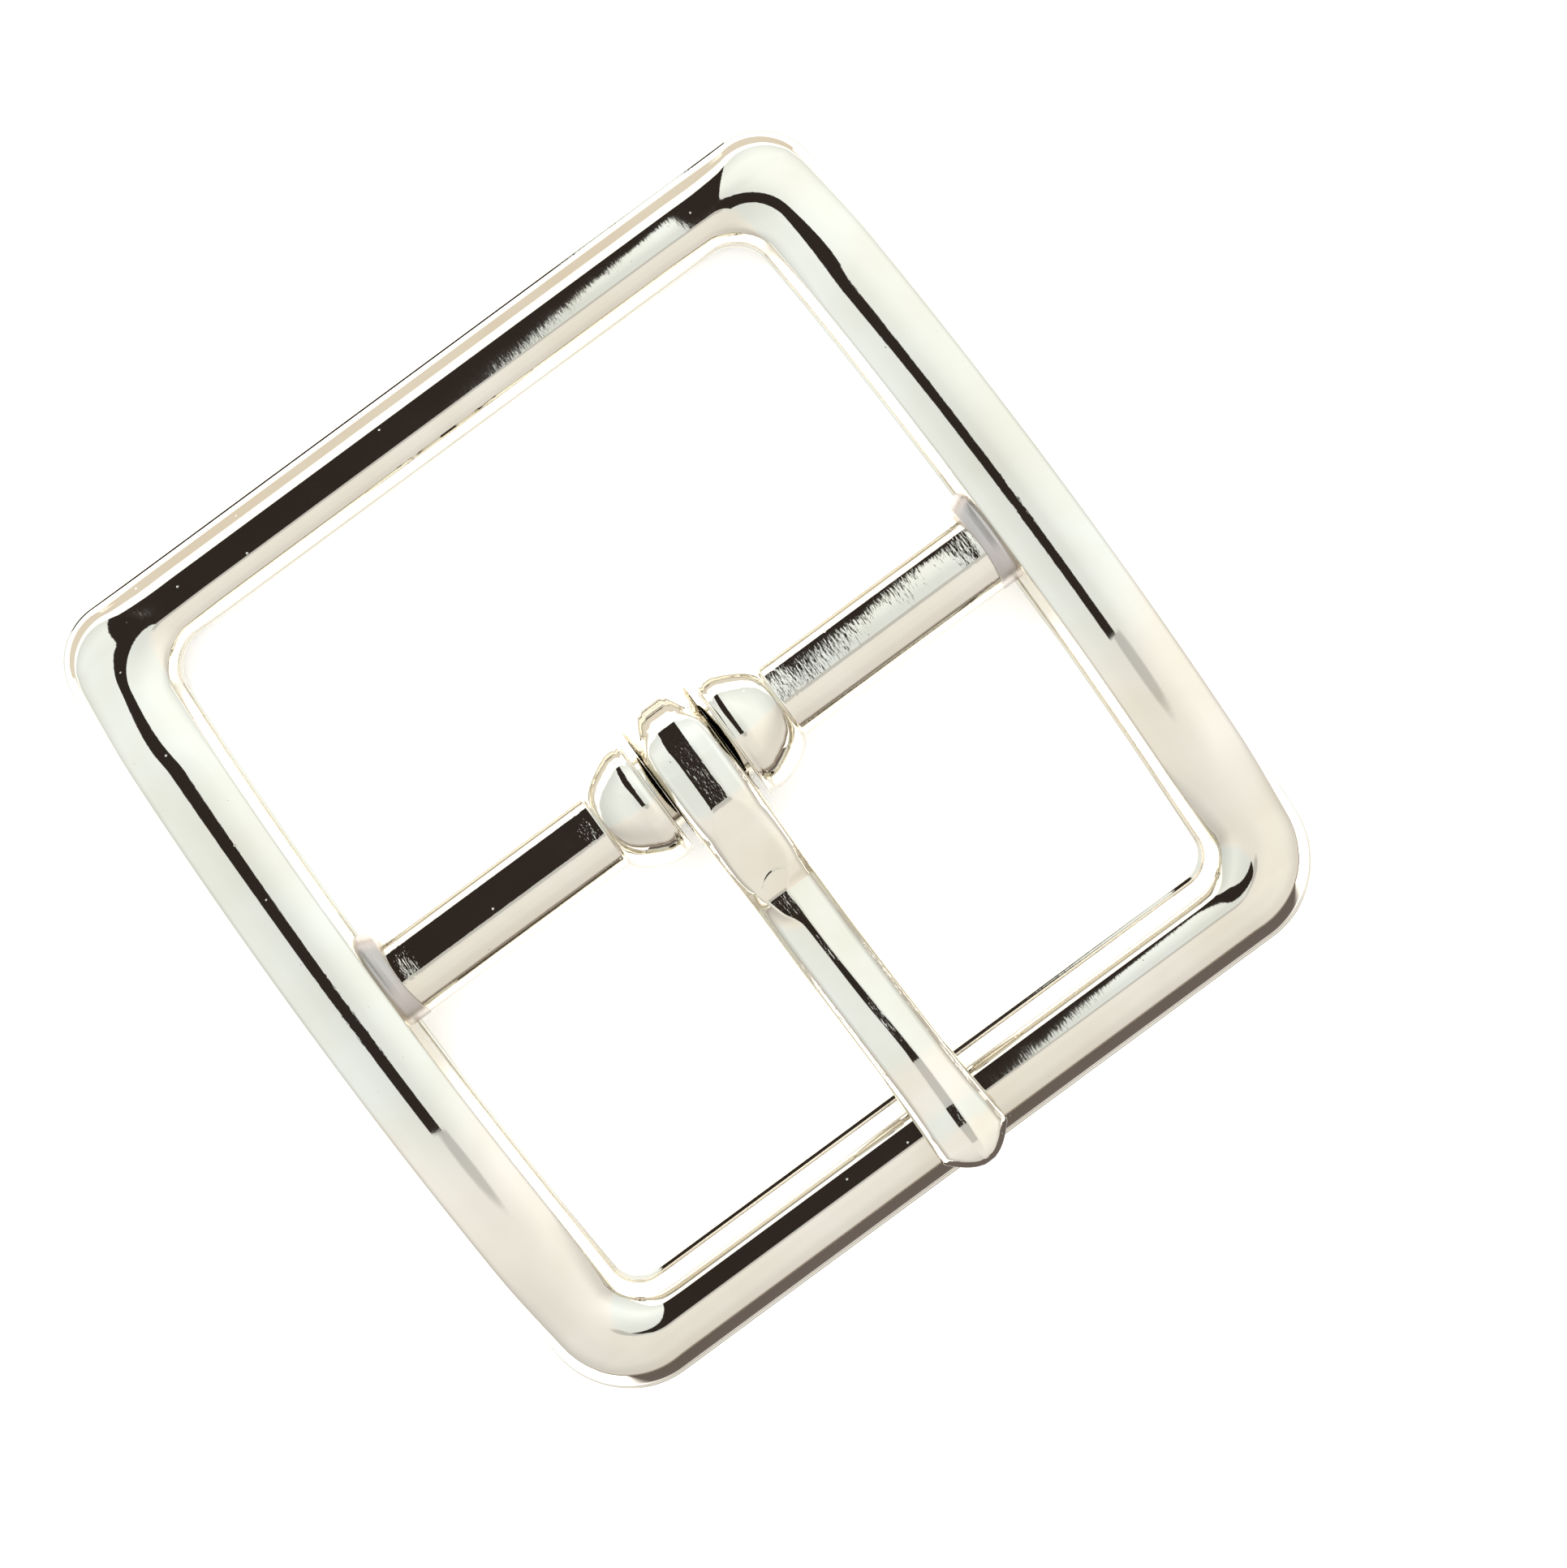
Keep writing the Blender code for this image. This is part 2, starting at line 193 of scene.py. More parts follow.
def closed_spline(points: Array, knots: Array, samples: int) -> Array:
    """Closed cubic spline through the points.

    The bend at each point is found so that slope and bend both carry on from one piece to the next, which
    is one linear equation per point; each piece is then the cubic with those bends at its ends.

    Args:
        points: one row per point, the last one joined back to the first.
        knots: length of the parameter from each point to the next one.
        samples: how many places of the curve to return, evenly spread over the parameter.

    Returns:
        One row per sample.
    """
    n = len(points)
    index = np.arange(n)
    back, ahead = (index - 1) % n, (index + 1) % n
    system = np.zeros((n, n))
    system[index, index] = 2 * (knots[back] + knots)
    system[index, back] += knots[back]
    system[index, ahead] += knots
    chords = (points[ahead] - points) / knots[:, None]
    bends = np.linalg.solve(system, 6 * (chords - chords[back]))
    starts = np.concatenate([[0.0], np.cumsum(knots)])
    at = np.linspace(0.0, starts[-1], samples, endpoint=False)
    i = np.clip(np.searchsorted(starts, at, side="right") - 1, 0, n - 1)
    h = knots[i][:, None]
    b = (at - starts[i])[:, None] / h
    a = 1 - b
    j = (i + 1) % n
    straight = a * points[i] + b * points[j]
    return straight + ((a**3 - a) * bends[i] + (b**3 - b) * bends[j]) * h**2 / 6


def surface(name: str, grid: Array, material: Material, ring: bool = False) -> Piece:
    """Closed piece from a grid of points whose columns run round it.

    Row r and column c make the quad (r, c), (r, c+1), (r+1, c+1), (r+1, c). Where the rows don't join up
    themselves, each end is closed by triangles to the middle of its last row. All faces are turned round
    together if the solid angle sum says that they point inwards.

    Args:
        name: name of the new object.
        grid: rows x columns x 3, in millimetres.
        material: finish of the piece.
        ring: whether the last row joins the first one.

    Returns:
        The object, at the origin, with its place in its mesh.
    """
    rows, columns = grid.shape[:2]
    points = grid.reshape(-1, 3)
    r = np.arange(rows if ring else rows - 1)[:, None]
    c = np.arange(columns)[None, :]
    here, right = r * columns + c, r * columns + (c + 1) % columns
    below = ((r + 1) % rows) * columns
    quads = np.stack([here, right, below + (c + 1) % columns, below + c], axis=-1).reshape(-1, 4)
    caps = np.empty((0, 3), int)
    if not ring:
        ends = np.stack([grid[0].mean(axis=0), grid[-1].mean(axis=0)])
        points = np.vstack([points, ends])
        first, last = rows * columns, rows * columns + 1
        turn = np.arange(columns)
        onward = (turn + 1) % columns
        edge = (rows - 1) * columns
        start = np.stack([onward, turn, np.full(columns, first)], axis=-1)
        stop = np.stack([edge + turn, edge + onward, np.full(columns, last)], axis=-1)
        caps = np.vstack([start, stop])
    triangles = np.vstack([quads[:, [0, 1, 2]], quads[:, [0, 2, 3]], caps])
    if np.linalg.det(points[triangles]).sum() < 0:
        quads, caps = quads[:, ::-1], caps[:, ::-1]
    mesh = bpy.data.meshes.new(name)
    corners = np.concatenate([quads.ravel(), caps.ravel()]).astype(np.int32)
    starts = np.concatenate([np.arange(len(quads)) * 4, len(quads) * 4 + np.arange(len(caps)) * 3])
    mesh.vertices.add(len(points))
    mesh.vertices.foreach_set("co", (points * MM).astype(np.float32).ravel())
    mesh.loops.add(len(corners))
    mesh.loops.foreach_set("vertex_index", corners)
    mesh.polygons.add(len(starts))
    mesh.polygons.foreach_set("loop_start", starts.astype(np.int32))
    mesh.update(calc_edges=True)
    mesh.validate()
    mesh.shade_smooth()
    mesh.materials.append(material)
    return placed(name, mesh)


class Station(NamedTuple):
    """A named place of a bar's section: share of the width from the outer edge, and share of the height."""

    name: str
    side: tuple[float, float]
    heel: tuple[float, float]
    front: tuple[float, float]


BAR_STATIONS = (
    Station("back_outer", (0.10, 0.00), (0.10, 0.00), (0.10, 0.00)),
    Station("foot_outer", (0.015, 0.07), (0.012, 0.08), (0.012, 0.08)),
    Station("belly_outer", (0.003, 0.30), (0.004, 0.24), (0.00, 0.24)),
    Station("seam_edge_outer", (0.005, 0.345), (0.020, 0.305), (0.006, 0.33)),
    Station("seam_root_outer", (0.012, 0.349), (0.042, 0.309), (0.022, 0.334)),
    Station("wall_outer", (0.018, 0.58), (0.050, 0.46), (0.035, 0.50)),
    Station("shoulder_outer", (0.038, 0.80), (0.085, 0.640), (0.08, 0.68)),
    Station("lip_outer", (0.058, 0.86), (0.15, 0.7265), (0.128, 0.768)),
    Station("eave_outer", (0.085, 0.905), (0.20, 0.787), (0.18, 0.835)),
    Station("slope_outer", (0.17, 0.945), (0.265, 0.852), (0.262, 0.903)),
    Station("flank_outer", (0.27, 0.973), (0.33, 0.905), (0.36, 0.955)),
    Station("brow_outer", (0.40, 0.9957), (0.47, 0.979), (0.45, 0.991)),
    Station("crest", (0.50, 1.00), (0.605, 1.00), (0.53, 1.00)),
    Station("brow_inner", (0.60, 0.9957), (0.70, 0.985), (0.61, 0.983)),
    Station("flank_inner", (0.73, 0.973), (0.79, 0.946), (0.693, 0.931)),
    Station("eave_inner", (0.855, 0.930), (0.876, 0.875), (0.80, 0.79)),
    Station("shoulder_inner", (0.895, 0.880), (0.94, 0.78), (0.85, 0.68)),
    Station("wall_inner", (0.955, 0.60), (0.985, 0.60), (0.93, 0.42)),
    Station("seam_root_inner", (0.976, 0.369), (0.978, 0.369), (0.962, 0.254)),
    Station("seam_edge_inner", (0.992, 0.365), (0.994, 0.365), (0.984, 0.250)),
    Station("belly_inner", (1.00, 0.28), (1.00, 0.30), (1.00, 0.18)),
    Station("foot_inner", (0.988, 0.07), (0.99, 0.08), (0.988, 0.06)),
    Station("back_inner", (0.90, 0.00), (0.90, 0.00), (0.90, 0.00)),
)


# Profile of a collar, as distance from its face and height over the bar: first the foot, with distances
# counted from the foot's own end, then the dome, its rounded rim and the face down to the bar.
COLLAR_FOOT = ((0.02, 0.00), (0.00, 0.04), (-0.04, 0.13), (-0.16, 0.32), (-0.42, 0.57))
COLLAR_DOME = (
    (2.45, 0.86), (2.00, 1.09), (1.50, 1.29), (1.07, 1.405), (0.70, 1.425), (0.48, 1.412), (0.26, 1.36),
    (0.17, 1.36), (0.12, 1.43), (0.085, 1.50), (0.045, 1.525), (0.01, 1.49), (0.00, 1.40), (0.00, 0.90),
    (0.02, 0.40), (0.05, 0.12), (0.07, 0.045),
)  # fmt: skip

# Rings of an end boss, as distance from the side bar, half width and half height: those of the root, then
# those of the lip, with distances counted from the lip.
BOSS_ROOT = ((-1.6, 2.50, 1.70), (-0.75, 2.85, 2.10), (-0.35, 2.84, 2.30), (0.0, 2.80, 2.28))
BOSS_LIP = ((-0.03, 2.68, 2.12), (0.03, 2.64, 2.085), (0.05, 2.56, 2.02), (0.05, 2.20, 1.80))


@dataclass(frozen=True)
class Blend:
    """Where a change of section starts before a corner on the side bar and ends beyond it on the end bar."""

    on_side: float
    on_end: float


@dataclass
class FrameCasting:
    """The one-piece casting: bars round the window, centre bar with collars, and end bosses.

    Every surface is worked out from named sizes in millimetres, relative to the centre bar's axis in Y. It is
    finished in the plate, and the bosses in that of the recess: a rougher skin where no polishing wheel reaches
    it, and a darker lilac-grey colour that is painted shade of the recess between the bars.
    """

    plate: Material
    recess: Material
    window_width: float = 39.15
    side_bar_width: float = 5.5
    heel_bar_width: float = 4.5
    front_bar_width: float = 5.25
    heel_window: float = 18.95
    front_window: float = 18.2
    side_bow: float = 0.86
    heel_corner: float = 3.4
    front_corner: float = 5.0
    heel_window_corner: float = 2.2
    front_window_corner: float = 1.6
    side_bar_height: float = 5.15
    heel_bar_height: float = 4.2
    front_bar_height: float = 4.25
    bar_width: float = 4.65
    bar_height: float = 4.1
    bar_y: float = 0.275
    axis_z: float = 4.2
    arch_rise: float = 1.97
    arch_reach: float = 21.05
    arch_power: float = 2.5
    arch_ease: float = 1.25
    crest_front: float = 22.99
    crest_heel: float = 23.05
    crest_power: float = 2.18
    heel_change: Blend = Blend(5.0, 3.0)
    front_change: Blend = Blend(5.0, 1.2)
    corner_lift: float = 0.055
    lift_on_side: float = 6.0
    lift_on_end: float = 5.0
    knot_power: float = 0.6
    collar_face_x: float = 2.475
    collar_length: float = 3.3
    round_from: float = 0.3
    bar_flare: float = 0.008
    collar_flare: float = 0.6
    flare_at_boss: float = 0.55
    flare_at_collar: float = 0.5
    collar_foot_gap: float = 0.1
    gap_start: float = 0.05
    gap_edge: float = 2.075
    gap_step: float = 0.03
    gap_slope: float = 0.09
    gap_rows: tuple[int, int] = (9, 6)
    boss_length: float = 0.75
    boss_lip: float = 0.12
    boss_power: float = 0.8
    boss_lean: float = 0.27
    boss_shift: float = 0.45
    shift_from: float = 2.33
    shift_over: float = 0.5
    shift_up: float = 0.3
    end_rows: int = 60
    corner_rows: int = 44
    side_rows: int = 150
    bar_rows: int = 110
    dome_rows: int = 180
    boss_rows: int = 90
    around: int = 136
    round_bar: int = 160
    round_boss: int = 120

    @property
    def half_window(self) -> float:
        """Half the width between the side bars."""
        return self.window_width / 2

    @property
    def heel_reach(self) -> float:
        """From the bar's axis to the heel bar's outer edge."""
        return self.bar_width / 2 + self.heel_window + self.heel_bar_width

    @property
    def front_reach(self) -> float:
        """From the bar's axis to the front bar's outer edge."""
        return self.bar_width / 2 + self.front_window + self.front_bar_width

    @property
    def corners(self) -> tuple[int, int, int, int]:
        """Rows of half a rail at which the front corner and then the heel corner starts and ends."""
        heel = self.end_rows + self.corner_rows + self.side_rows
        return self.end_rows, self.end_rows + self.corner_rows, heel, heel + self.corner_rows

    def arch(self, y: Array) -> Array:
        """Height of the back off the table: the rise times (1 - share to the power 2.5) to the power 1.25."""
        share = np.minimum(np.abs(y) / self.arch_reach, 1.0)
        return self.arch_rise * (1 - share**self.arch_power) ** self.arch_ease

    def crest(self, y: Array) -> Array:
        """Height of the bars' tops over the table: it falls with the share to the power 2.18 to an end bar's.

        Args:
            y: places across the window, from the centre bar's axis.

        Returns:
            A height for each place.
        """
        reach = np.where(y > 0, self.crest_heel, self.crest_front)
        end = np.where(y > 0, self.heel_bar_height, self.front_bar_height)
        middle = self.arch_rise + self.side_bar_height
        return middle - (middle - end) * np.minimum(np.abs(y) / reach, 1.0) ** self.crest_power

    def rail(
        self, half_width: float, heel_edge: float, front_edge: float, heel_r: float, front_r: float
    ) -> Array:
        """Half a rail, from the middle of the front bar round the +X side to the middle of the heel bar.

        Straight along the front bar, a quarter turn of the front radius, the bowed side whose x falls off with
        the square of y, a quarter turn of the heel radius, and straight along the heel bar.

        Args:
            half_width: x of the side at the centre bar.
            heel_edge: y of the rail on the heel bar.
            front_edge: distance of the rail on the front bar.
            heel_r: corner radius at the heel.
            front_r: corner radius at the front.

        Returns:
            Points as x and y, the same number for every rail.
        """
        half_length = (self.heel_reach + self.front_reach) / 2

        def side_x(y: Array | float) -> Array | float:
            """The bowed side: full half width less the bow times the square of the share along it."""
            return half_width - self.side_bow * (y / half_length) ** 2

        def lean(y: float) -> float:
            """Angle of the side's outward normal above +X."""
            return math.atan(2 * self.side_bow * y / half_length**2)

        heel_lean, front_lean = lean(heel_edge - heel_r), lean(front_edge - front_r)
        heel_start = heel_edge - heel_r * (1 - math.sin(heel_lean))
        front_start = front_edge - front_r * (1 - math.sin(front_lean))
        heel_x = side_x(heel_start) - heel_r * math.cos(heel_lean)
        front_x = side_x(front_start) - front_r * math.cos(front_lean)
        counts = (self.end_rows, self.corner_rows, self.side_rows)
        bar, corner, side = (np.linspace(0, 1, n, endpoint=False) for n in counts)
        front_turn = -math.pi / 2 + (math.pi / 2 - front_lean) * corner
        heel_turn = heel_lean + (math.pi / 2 - heel_lean) * corner
        side_y = -front_start + (heel_start + front_start) * side
        last = np.linspace(1, 0, self.end_rows + 1)
        xs = [front_x * bar, front_x + front_r * np.cos(front_turn), side_x(side_y)]
        xs += [heel_x + heel_r * np.cos(heel_turn), heel_x * last]
        ys = [np.full(len(bar), -front_edge), front_r - front_edge + front_r * np.sin(front_turn), side_y]
        ys += [heel_edge - heel_r + heel_r * np.sin(heel_turn), np.full(len(last), heel_edge)]
        return np.stack([np.concatenate(xs), np.concatenate(ys)], axis=-1)

    @staticmethod
    def travelled(rail: Array) -> Array:
        """Length along a line of points from its start to each of them."""
        return np.concatenate([[0.0], np.cumsum(np.linalg.norm(np.diff(rail, axis=0), axis=1))])

    def corner_rise(self, rail: Array) -> Array:
        """Extra height of the crest at the heel corner: the lift, eased to none on either side of it.

        Args:
            rail: the half rail halfway across the bars.

        Returns:
            A height for each of its points.
        """
        travel = self.travelled(rail)
        start, end = (travel[row] for row in self.corners[2:])
        beyond = travel - (start + end) / 2
        fade = np.where(beyond > 0, self.lift_on_end, self.lift_on_side)
        return self.corner_lift * eased(1 - np.abs(beyond) / fade)

    def end_shares(self, rail: Array) -> Array:
        """How much of a section along half a rail is an end bar's: all on it, eased to none beside it.

        Args:
            rail: the half rail halfway across the bars.

        Returns:
            A share for each of its points.
        """
        travel = self.travelled(rail)
        front_end, front_side, heel_side, heel_end = (travel[row] for row in self.corners)
        onto_side = front_side - front_end + self.front_change.on_end + self.front_change.on_side
        onto_heel = heel_end - heel_side + self.heel_change.on_end + self.heel_change.on_side
        front = 1 - eased((travel - front_end + self.front_change.on_end) / onto_side)
        heel = eased((travel - heel_side + self.heel_change.on_side) / onto_heel)
        return front + heel

    def sections(self) -> tuple[Array, Array, Array]:
        """Sections of the bars as closed splines through the stations, matched point by point.

        Returns:
            Points of the side, heel and front bar's section, as share across and share up.
        """
        tables = [np.array([getattr(s, part) for s in BAR_STATIONS]) for part in ("side", "heel", "front")]
        mean = sum(tables) / 3
        knots = np.linalg.norm(np.roll(mean, -1, axis=0) - mean, axis=1) ** self.knot_power
        return tuple(closed_spline(table, knots, self.around) for table in tables)

    @staticmethod
    def mirrored(half: Array) -> Array:
        """A half rail's rows with their mirror images, as one closed loop without doubled ends."""
        return np.concatenate([half, half[-2:0:-1] * (-1, 1)])

    def bars(self) -> Piece:
        """The ring of bars: the section between two rails, carried round the window.

        A point lies at its share of the way from the outer rail to the inner one, and at its share of the
        height between the arched back and the crest, both taken at the point itself on a side bar and at the
        crest of its row on an end bar.

        Returns:
            The ring.
        """
        wide, to_heel, to_front = self.half_window + self.side_bar_width, self.heel_reach, self.front_reach
        outer = self.rail(wide, to_heel, to_front, self.heel_corner, self.front_corner)
        to_heel, to_front = to_heel - self.heel_bar_width, to_front - self.front_bar_width
        heel_r, front_r = self.heel_window_corner, self.front_window_corner
        inner = self.rail(self.half_window, to_heel, to_front, heel_r, front_r)
        middle = (outer + inner) / 2
        halves = (self.end_shares(middle), self.corner_rise(middle))
        shares, rise = (np.concatenate([half, half[-2:0:-1]])[:, None] for half in halves)
        outer, inner = self.mirrored(outer), self.mirrored(inner)
        side, heel, front = self.sections()
        at_heel = (outer[:, 1] > 0)[:, None]
        across = side[:, 0] + (np.where(at_heel, heel[:, 0], front[:, 0]) - side[:, 0]) * shares
        up = side[:, 1] + (np.where(at_heel, heel[:, 1], front[:, 1]) - side[:, 1]) * shares
        place = outer[:, None, :] + (inner - outer)[:, None, :] * across[:, :, None]
        y = place[:, :, 1]
        crest_y = np.where(outer[:, 1] > 0, self.crest_heel, -self.crest_front)[:, None]
        level_y = y + (crest_y - y) * shares
        back = self.arch(level_y)
        z = back + np.maximum(up, 0) * (self.crest(level_y) + rise - back)
        grid = np.stack([place[:, :, 0], y + self.bar_y, z], axis=-1)
        return surface("frame_bars", grid, self.plate, ring=True)

    def centre_bar(self) -> Piece:
        """The oval centre bar and its two domed collars, from one profile along X.

        Between stations the profile is a curve through them; the collar's dome is highest a little short of
        its face, and its edges are rounded. The bar widens slightly to the bosses and collars, as fast as an
        exponential falls, and evenly from beside the curl to each collar's face. Round the axis each ring is an
        oval: y is half its width times the cosine, z half its height times the sine.

        Returns:
            The bar with its collars.
        """
        half_y, half_z = self.bar_width / 2, self.bar_height / 2
        face, tail = self.collar_face_x, self.collar_length
        stations = np.array([(tail + x, up) for x, up in COLLAR_FOOT] + list(COLLAR_DOME))
        travel = self.travelled(stations)
        dome = through(travel, stations, np.linspace(0, travel[-1], self.dome_rows), Turn.ROUND)
        foot = face + tail + self.collar_foot_gap
        out = np.linspace(self.half_window + self.side_bar_width / 2, foot, self.bar_rows)
        to_boss = np.maximum(self.half_window - self.boss_length - out, 0)
        flare = np.exp(-to_boss / self.flare_at_boss)
        flare += self.collar_flare * np.exp(-(out - out[-1]) / self.flare_at_collar)
        beside, under_curl = self.gap_rows
        gap = np.linspace(face + self.gap_start, self.gap_edge, beside)
        gap = np.append(gap, np.linspace(self.gap_edge - self.gap_step, 0, under_curl))
        gap_rise = self.gap_slope * np.maximum(gap - self.gap_edge, 0.0)
        skirt = self.collar_flare * self.bar_flare * eased(dome[:, 0] / tail)
        x = np.concatenate([out, face + dome[:, 0], gap])
        rise = np.concatenate([self.bar_flare * flare, np.maximum(dome[:, 1], 0.0) + skirt, gap_rise])
        z_size = half_z + rise + (half_y - half_z) * np.clip(rise / self.round_from, 0, 1)
        x = np.concatenate([x, -x[-2::-1]])
        rise, z_size = (np.concatenate([half, half[-2::-1]]) for half in (rise, z_size))
        turn = np.linspace(0, 2 * math.pi, self.round_bar, endpoint=False)
        y = self.bar_y + (half_y + rise)[:, None] * np.cos(turn)
        z = self.axis_z + z_size[:, None] * np.sin(turn)
        grid = np.stack([np.broadcast_to(x[:, None], y.shape), y, z], axis=-1)
        return surface("centre_bar", grid, self.plate)

    def boss(self, name: str, side: int) -> Piece:
        """The flare between a side bar and the centre bar.

        Its rings are rounded squares: cosine and sine to the power 0.8. From a root inside the side bar they
        shrink evenly to just over the bar, where a rounded lip meets it; the lip leans back above and below,
        by one less the square of the sideways share. The wider a ring, the further it sits to the heel side.

        Args:
            name: name of the piece.
            side: -1 for the left boss, 1 for the right one.

        Returns:
            The boss.
        """
        turn = np.linspace(0, 2 * math.pi, self.round_boss, endpoint=False)
        out_y, out_z = (np.sign(v) * np.abs(v) ** self.boss_power for v in (np.cos(turn), np.sin(turn)))
        lip = self.boss_length - self.boss_lip
        rings = np.array([*BOSS_ROOT, *((lip + out, *sizes) for out, *sizes in BOSS_LIP)])
        count = len(rings)
        rows = through(np.arange(count), rings, np.linspace(0, count - 1, self.boss_rows))
        shift = self.boss_shift * np.clip((rows[:, 1] - self.shift_from) / self.shift_over, 0, 1)[:, None]
        reach = np.clip(rows[:, 0] / self.boss_length, 0, 1)[:, None]
        x = side * (self.half_window - rows[:, :1] + self.boss_lean * reach * (1 - np.abs(out_y) ** 2))
        y = self.bar_y + shift + rows[:, 1:2] * out_y
        z = self.axis_z + self.shift_up * shift + rows[:, 2:3] * out_z
        return surface(name, np.stack([x, y, z], axis=-1), self.recess)

    def build(self) -> None:
        """Makes the casting's surfaces and gives them to the frame body."""
        ring = self.bars()
        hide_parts("frame")
        pieces = (ring, self.centre_bar(), self.boss("end_boss_left", -1), self.boss("end_boss_right", 1))
        for piece in pieces:
            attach(piece, "frame")
            log.info("%s: %d faces", piece.name, len(piece.data.polygons))


def rounded_outline(
    corners: Array, rounding: Array, flats: tuple[int, ...], arc: int = 6, most: float = 0.45
) -> Array:
    """Closed outlines whose corners are rounded.

    Round each corner the line is the parabola that leaves one side at the rounding's distance before the
    corner and joins the next side at the same distance after it; between corners it is straight.

    Args:
        corners: rows x corners x 2, each row one outline.
        rounding: rows x corners, how far from a corner its rounding starts.
        flats: points along the straight part after each corner.
        arc: points round a corner.
        most: largest share of a side that the rounding at one of its ends takes.

    Returns:
        rows x points x 2.
    """
    back = np.roll(corners, 1, axis=1) - corners
    on = np.roll(corners, -1, axis=1) - corners
    back_length = np.linalg.norm(back, axis=2, keepdims=True)
    on_length = np.linalg.norm(on, axis=2, keepdims=True)
    reach = rounding[:, :, None]
    enter = corners + back / back_length * np.minimum(reach, most * back_length)
    leave = corners + on / on_length * np.minimum(reach, most * on_length)
    t = np.linspace(0, 1, arc)[None, None, :, None]
    bend = (1 - t) ** 2 * enter[:, :, None] + 2 * t * (1 - t) * corners[:, :, None] + t**2 * leave[:, :, None]
    onward = np.roll(enter, -1, axis=1) - leave
    parts = []
    for corner, count in enumerate(flats):
        s = np.linspace(0, 1, count + 2)[1:-1][None, :, None]
        parts += [bend[:, corner], leave[:, corner, None] + onward[:, corner, None] * s]
    return np.concatenate(parts, axis=1)


class Slice(NamedTuple):
    """A named cross-section of the prong or neck at a distance from the bar's axis, in millimetres."""

    name: str
    reach: float
    half_width: float
    under: float
    top: float
    strip: float
    gable: float
    ridge_x: float


TONGUE_SLICES = (
    Slice("over_bar", 0.0, 2.065, 2.625, 4.125, 0.60, 0.14, 0.085),
    Slice("crown", 1.6, 2.06, 2.08, 4.118, 0.60, 0.14, 0.08),
    Slice("brow", 2.5, 2.05, 0.62, 4.085, 0.62, 0.14, 0.06),
    Slice("brow_turn", 2.85, 2.045, 0.58, 4.045, 0.72, 0.14, 0.04),
    Slice("neck_top", 3.5, 2.03, 0.545, 3.90, 1.05, 0.12, 0.00),
    Slice("neck_middle", 5.0, 2.00, 0.542, 3.47, 1.30, 0.10, -0.06),
    Slice("neck_low", 6.4, 1.97, 0.542, 3.21, 1.28, 0.08, -0.06),
    Slice("crimp", 7.1, 1.95, 0.542, 3.09, 1.18, 0.09, -0.10),
    Slice("heel_of_ridge", 7.8, 1.94, 0.542, 2.965, 0.98, 0.18, -0.30),
    Slice("facet_top", 8.25, 1.935, 0.542, 2.884, 0.70, 0.33, -0.44),
    Slice("facet_brow", 8.4, 1.935, 0.542, 2.872, 0.62, 0.37, -0.43),
    Slice("facet", 9.3, 1.935, 0.542, 2.871, 0.50, 0.39, -0.28),
    Slice("facet_foot", 9.9, 1.935, 0.542, 2.870, 0.31, 0.40, -0.12),
    Slice("ridge_start", 10.4, 1.935, 0.542, 2.870, 0.22, 0.40, -0.05),
    Slice("ridge", 12.0, 1.935, 0.542, 2.868, 0.20, 0.40, -0.01),
    Slice("middle", 15.5, 1.935, 0.542, 2.865, 0.23, 0.40, 0.12),
    Slice("fore", 18.9, 1.94, 0.535, 2.860, 0.23, 0.40, 0.30),
    Slice("bend", 19.6, 1.945, 0.52, 2.830, 0.26, 0.39, 0.31),
    Slice("dip", 21.4, 1.97, 0.45, 2.655, 0.29, 0.38, 0.30),
    Slice("seat", 22.9, 2.02, 0.36, 2.535, 0.29, 0.37, 0.28),
    Slice("flat", 23.6, 2.06, 0.35, 2.525, 0.29, 0.37, 0.27),
    Slice("shoulder", 24.85, 2.10, 0.40, 2.420, 0.23, 0.35, 0.26),
    Slice("shoulder_turn", 25.05, 2.02, 0.42, 2.395, 0.22, 0.335, 0.26),
    Slice("bevel", 25.35, 1.74, 0.46, 2.350, 0.20, 0.30, 0.26),
    Slice("nose", 25.65, 1.42, 0.53, 2.28, 0.17, 0.24, 0.25),
    Slice("snub", 25.90, 1.10, 0.63, 2.18, 0.13, 0.17, 0.25),
    Slice("tip", 26.10, 0.76, 0.80, 2.00, 0.09, 0.10, 0.25),
    Slice("end", 26.25, 0.36, 1.05, 1.70, 0.04, 0.04, 0.25),
)

# The curl's outer skin behind and under the bar: angle round the axis, then y and z from the axis.
CURL_SKIN = np.array([
    (90, 0.00, 4.125), (75, 1.15, 3.975), (60, 2.25, 3.45), (45, 3.20, 2.62), (30, 4.02, 1.55),
    (15, 4.70, 0.38), (0, 5.22, -0.70), (-15, 5.52, -1.75), (-30, 5.36, -2.80), (-45, 4.66, -3.56),
    (-60, 3.55, -3.95), (-75, 2.20, -4.10), (-90, 0.75, -4.12), (-120, -2.00, -3.52), (-150, -3.44, -2.00),
    (-183.5, -3.90, 0.24),
])  # fmt: skip


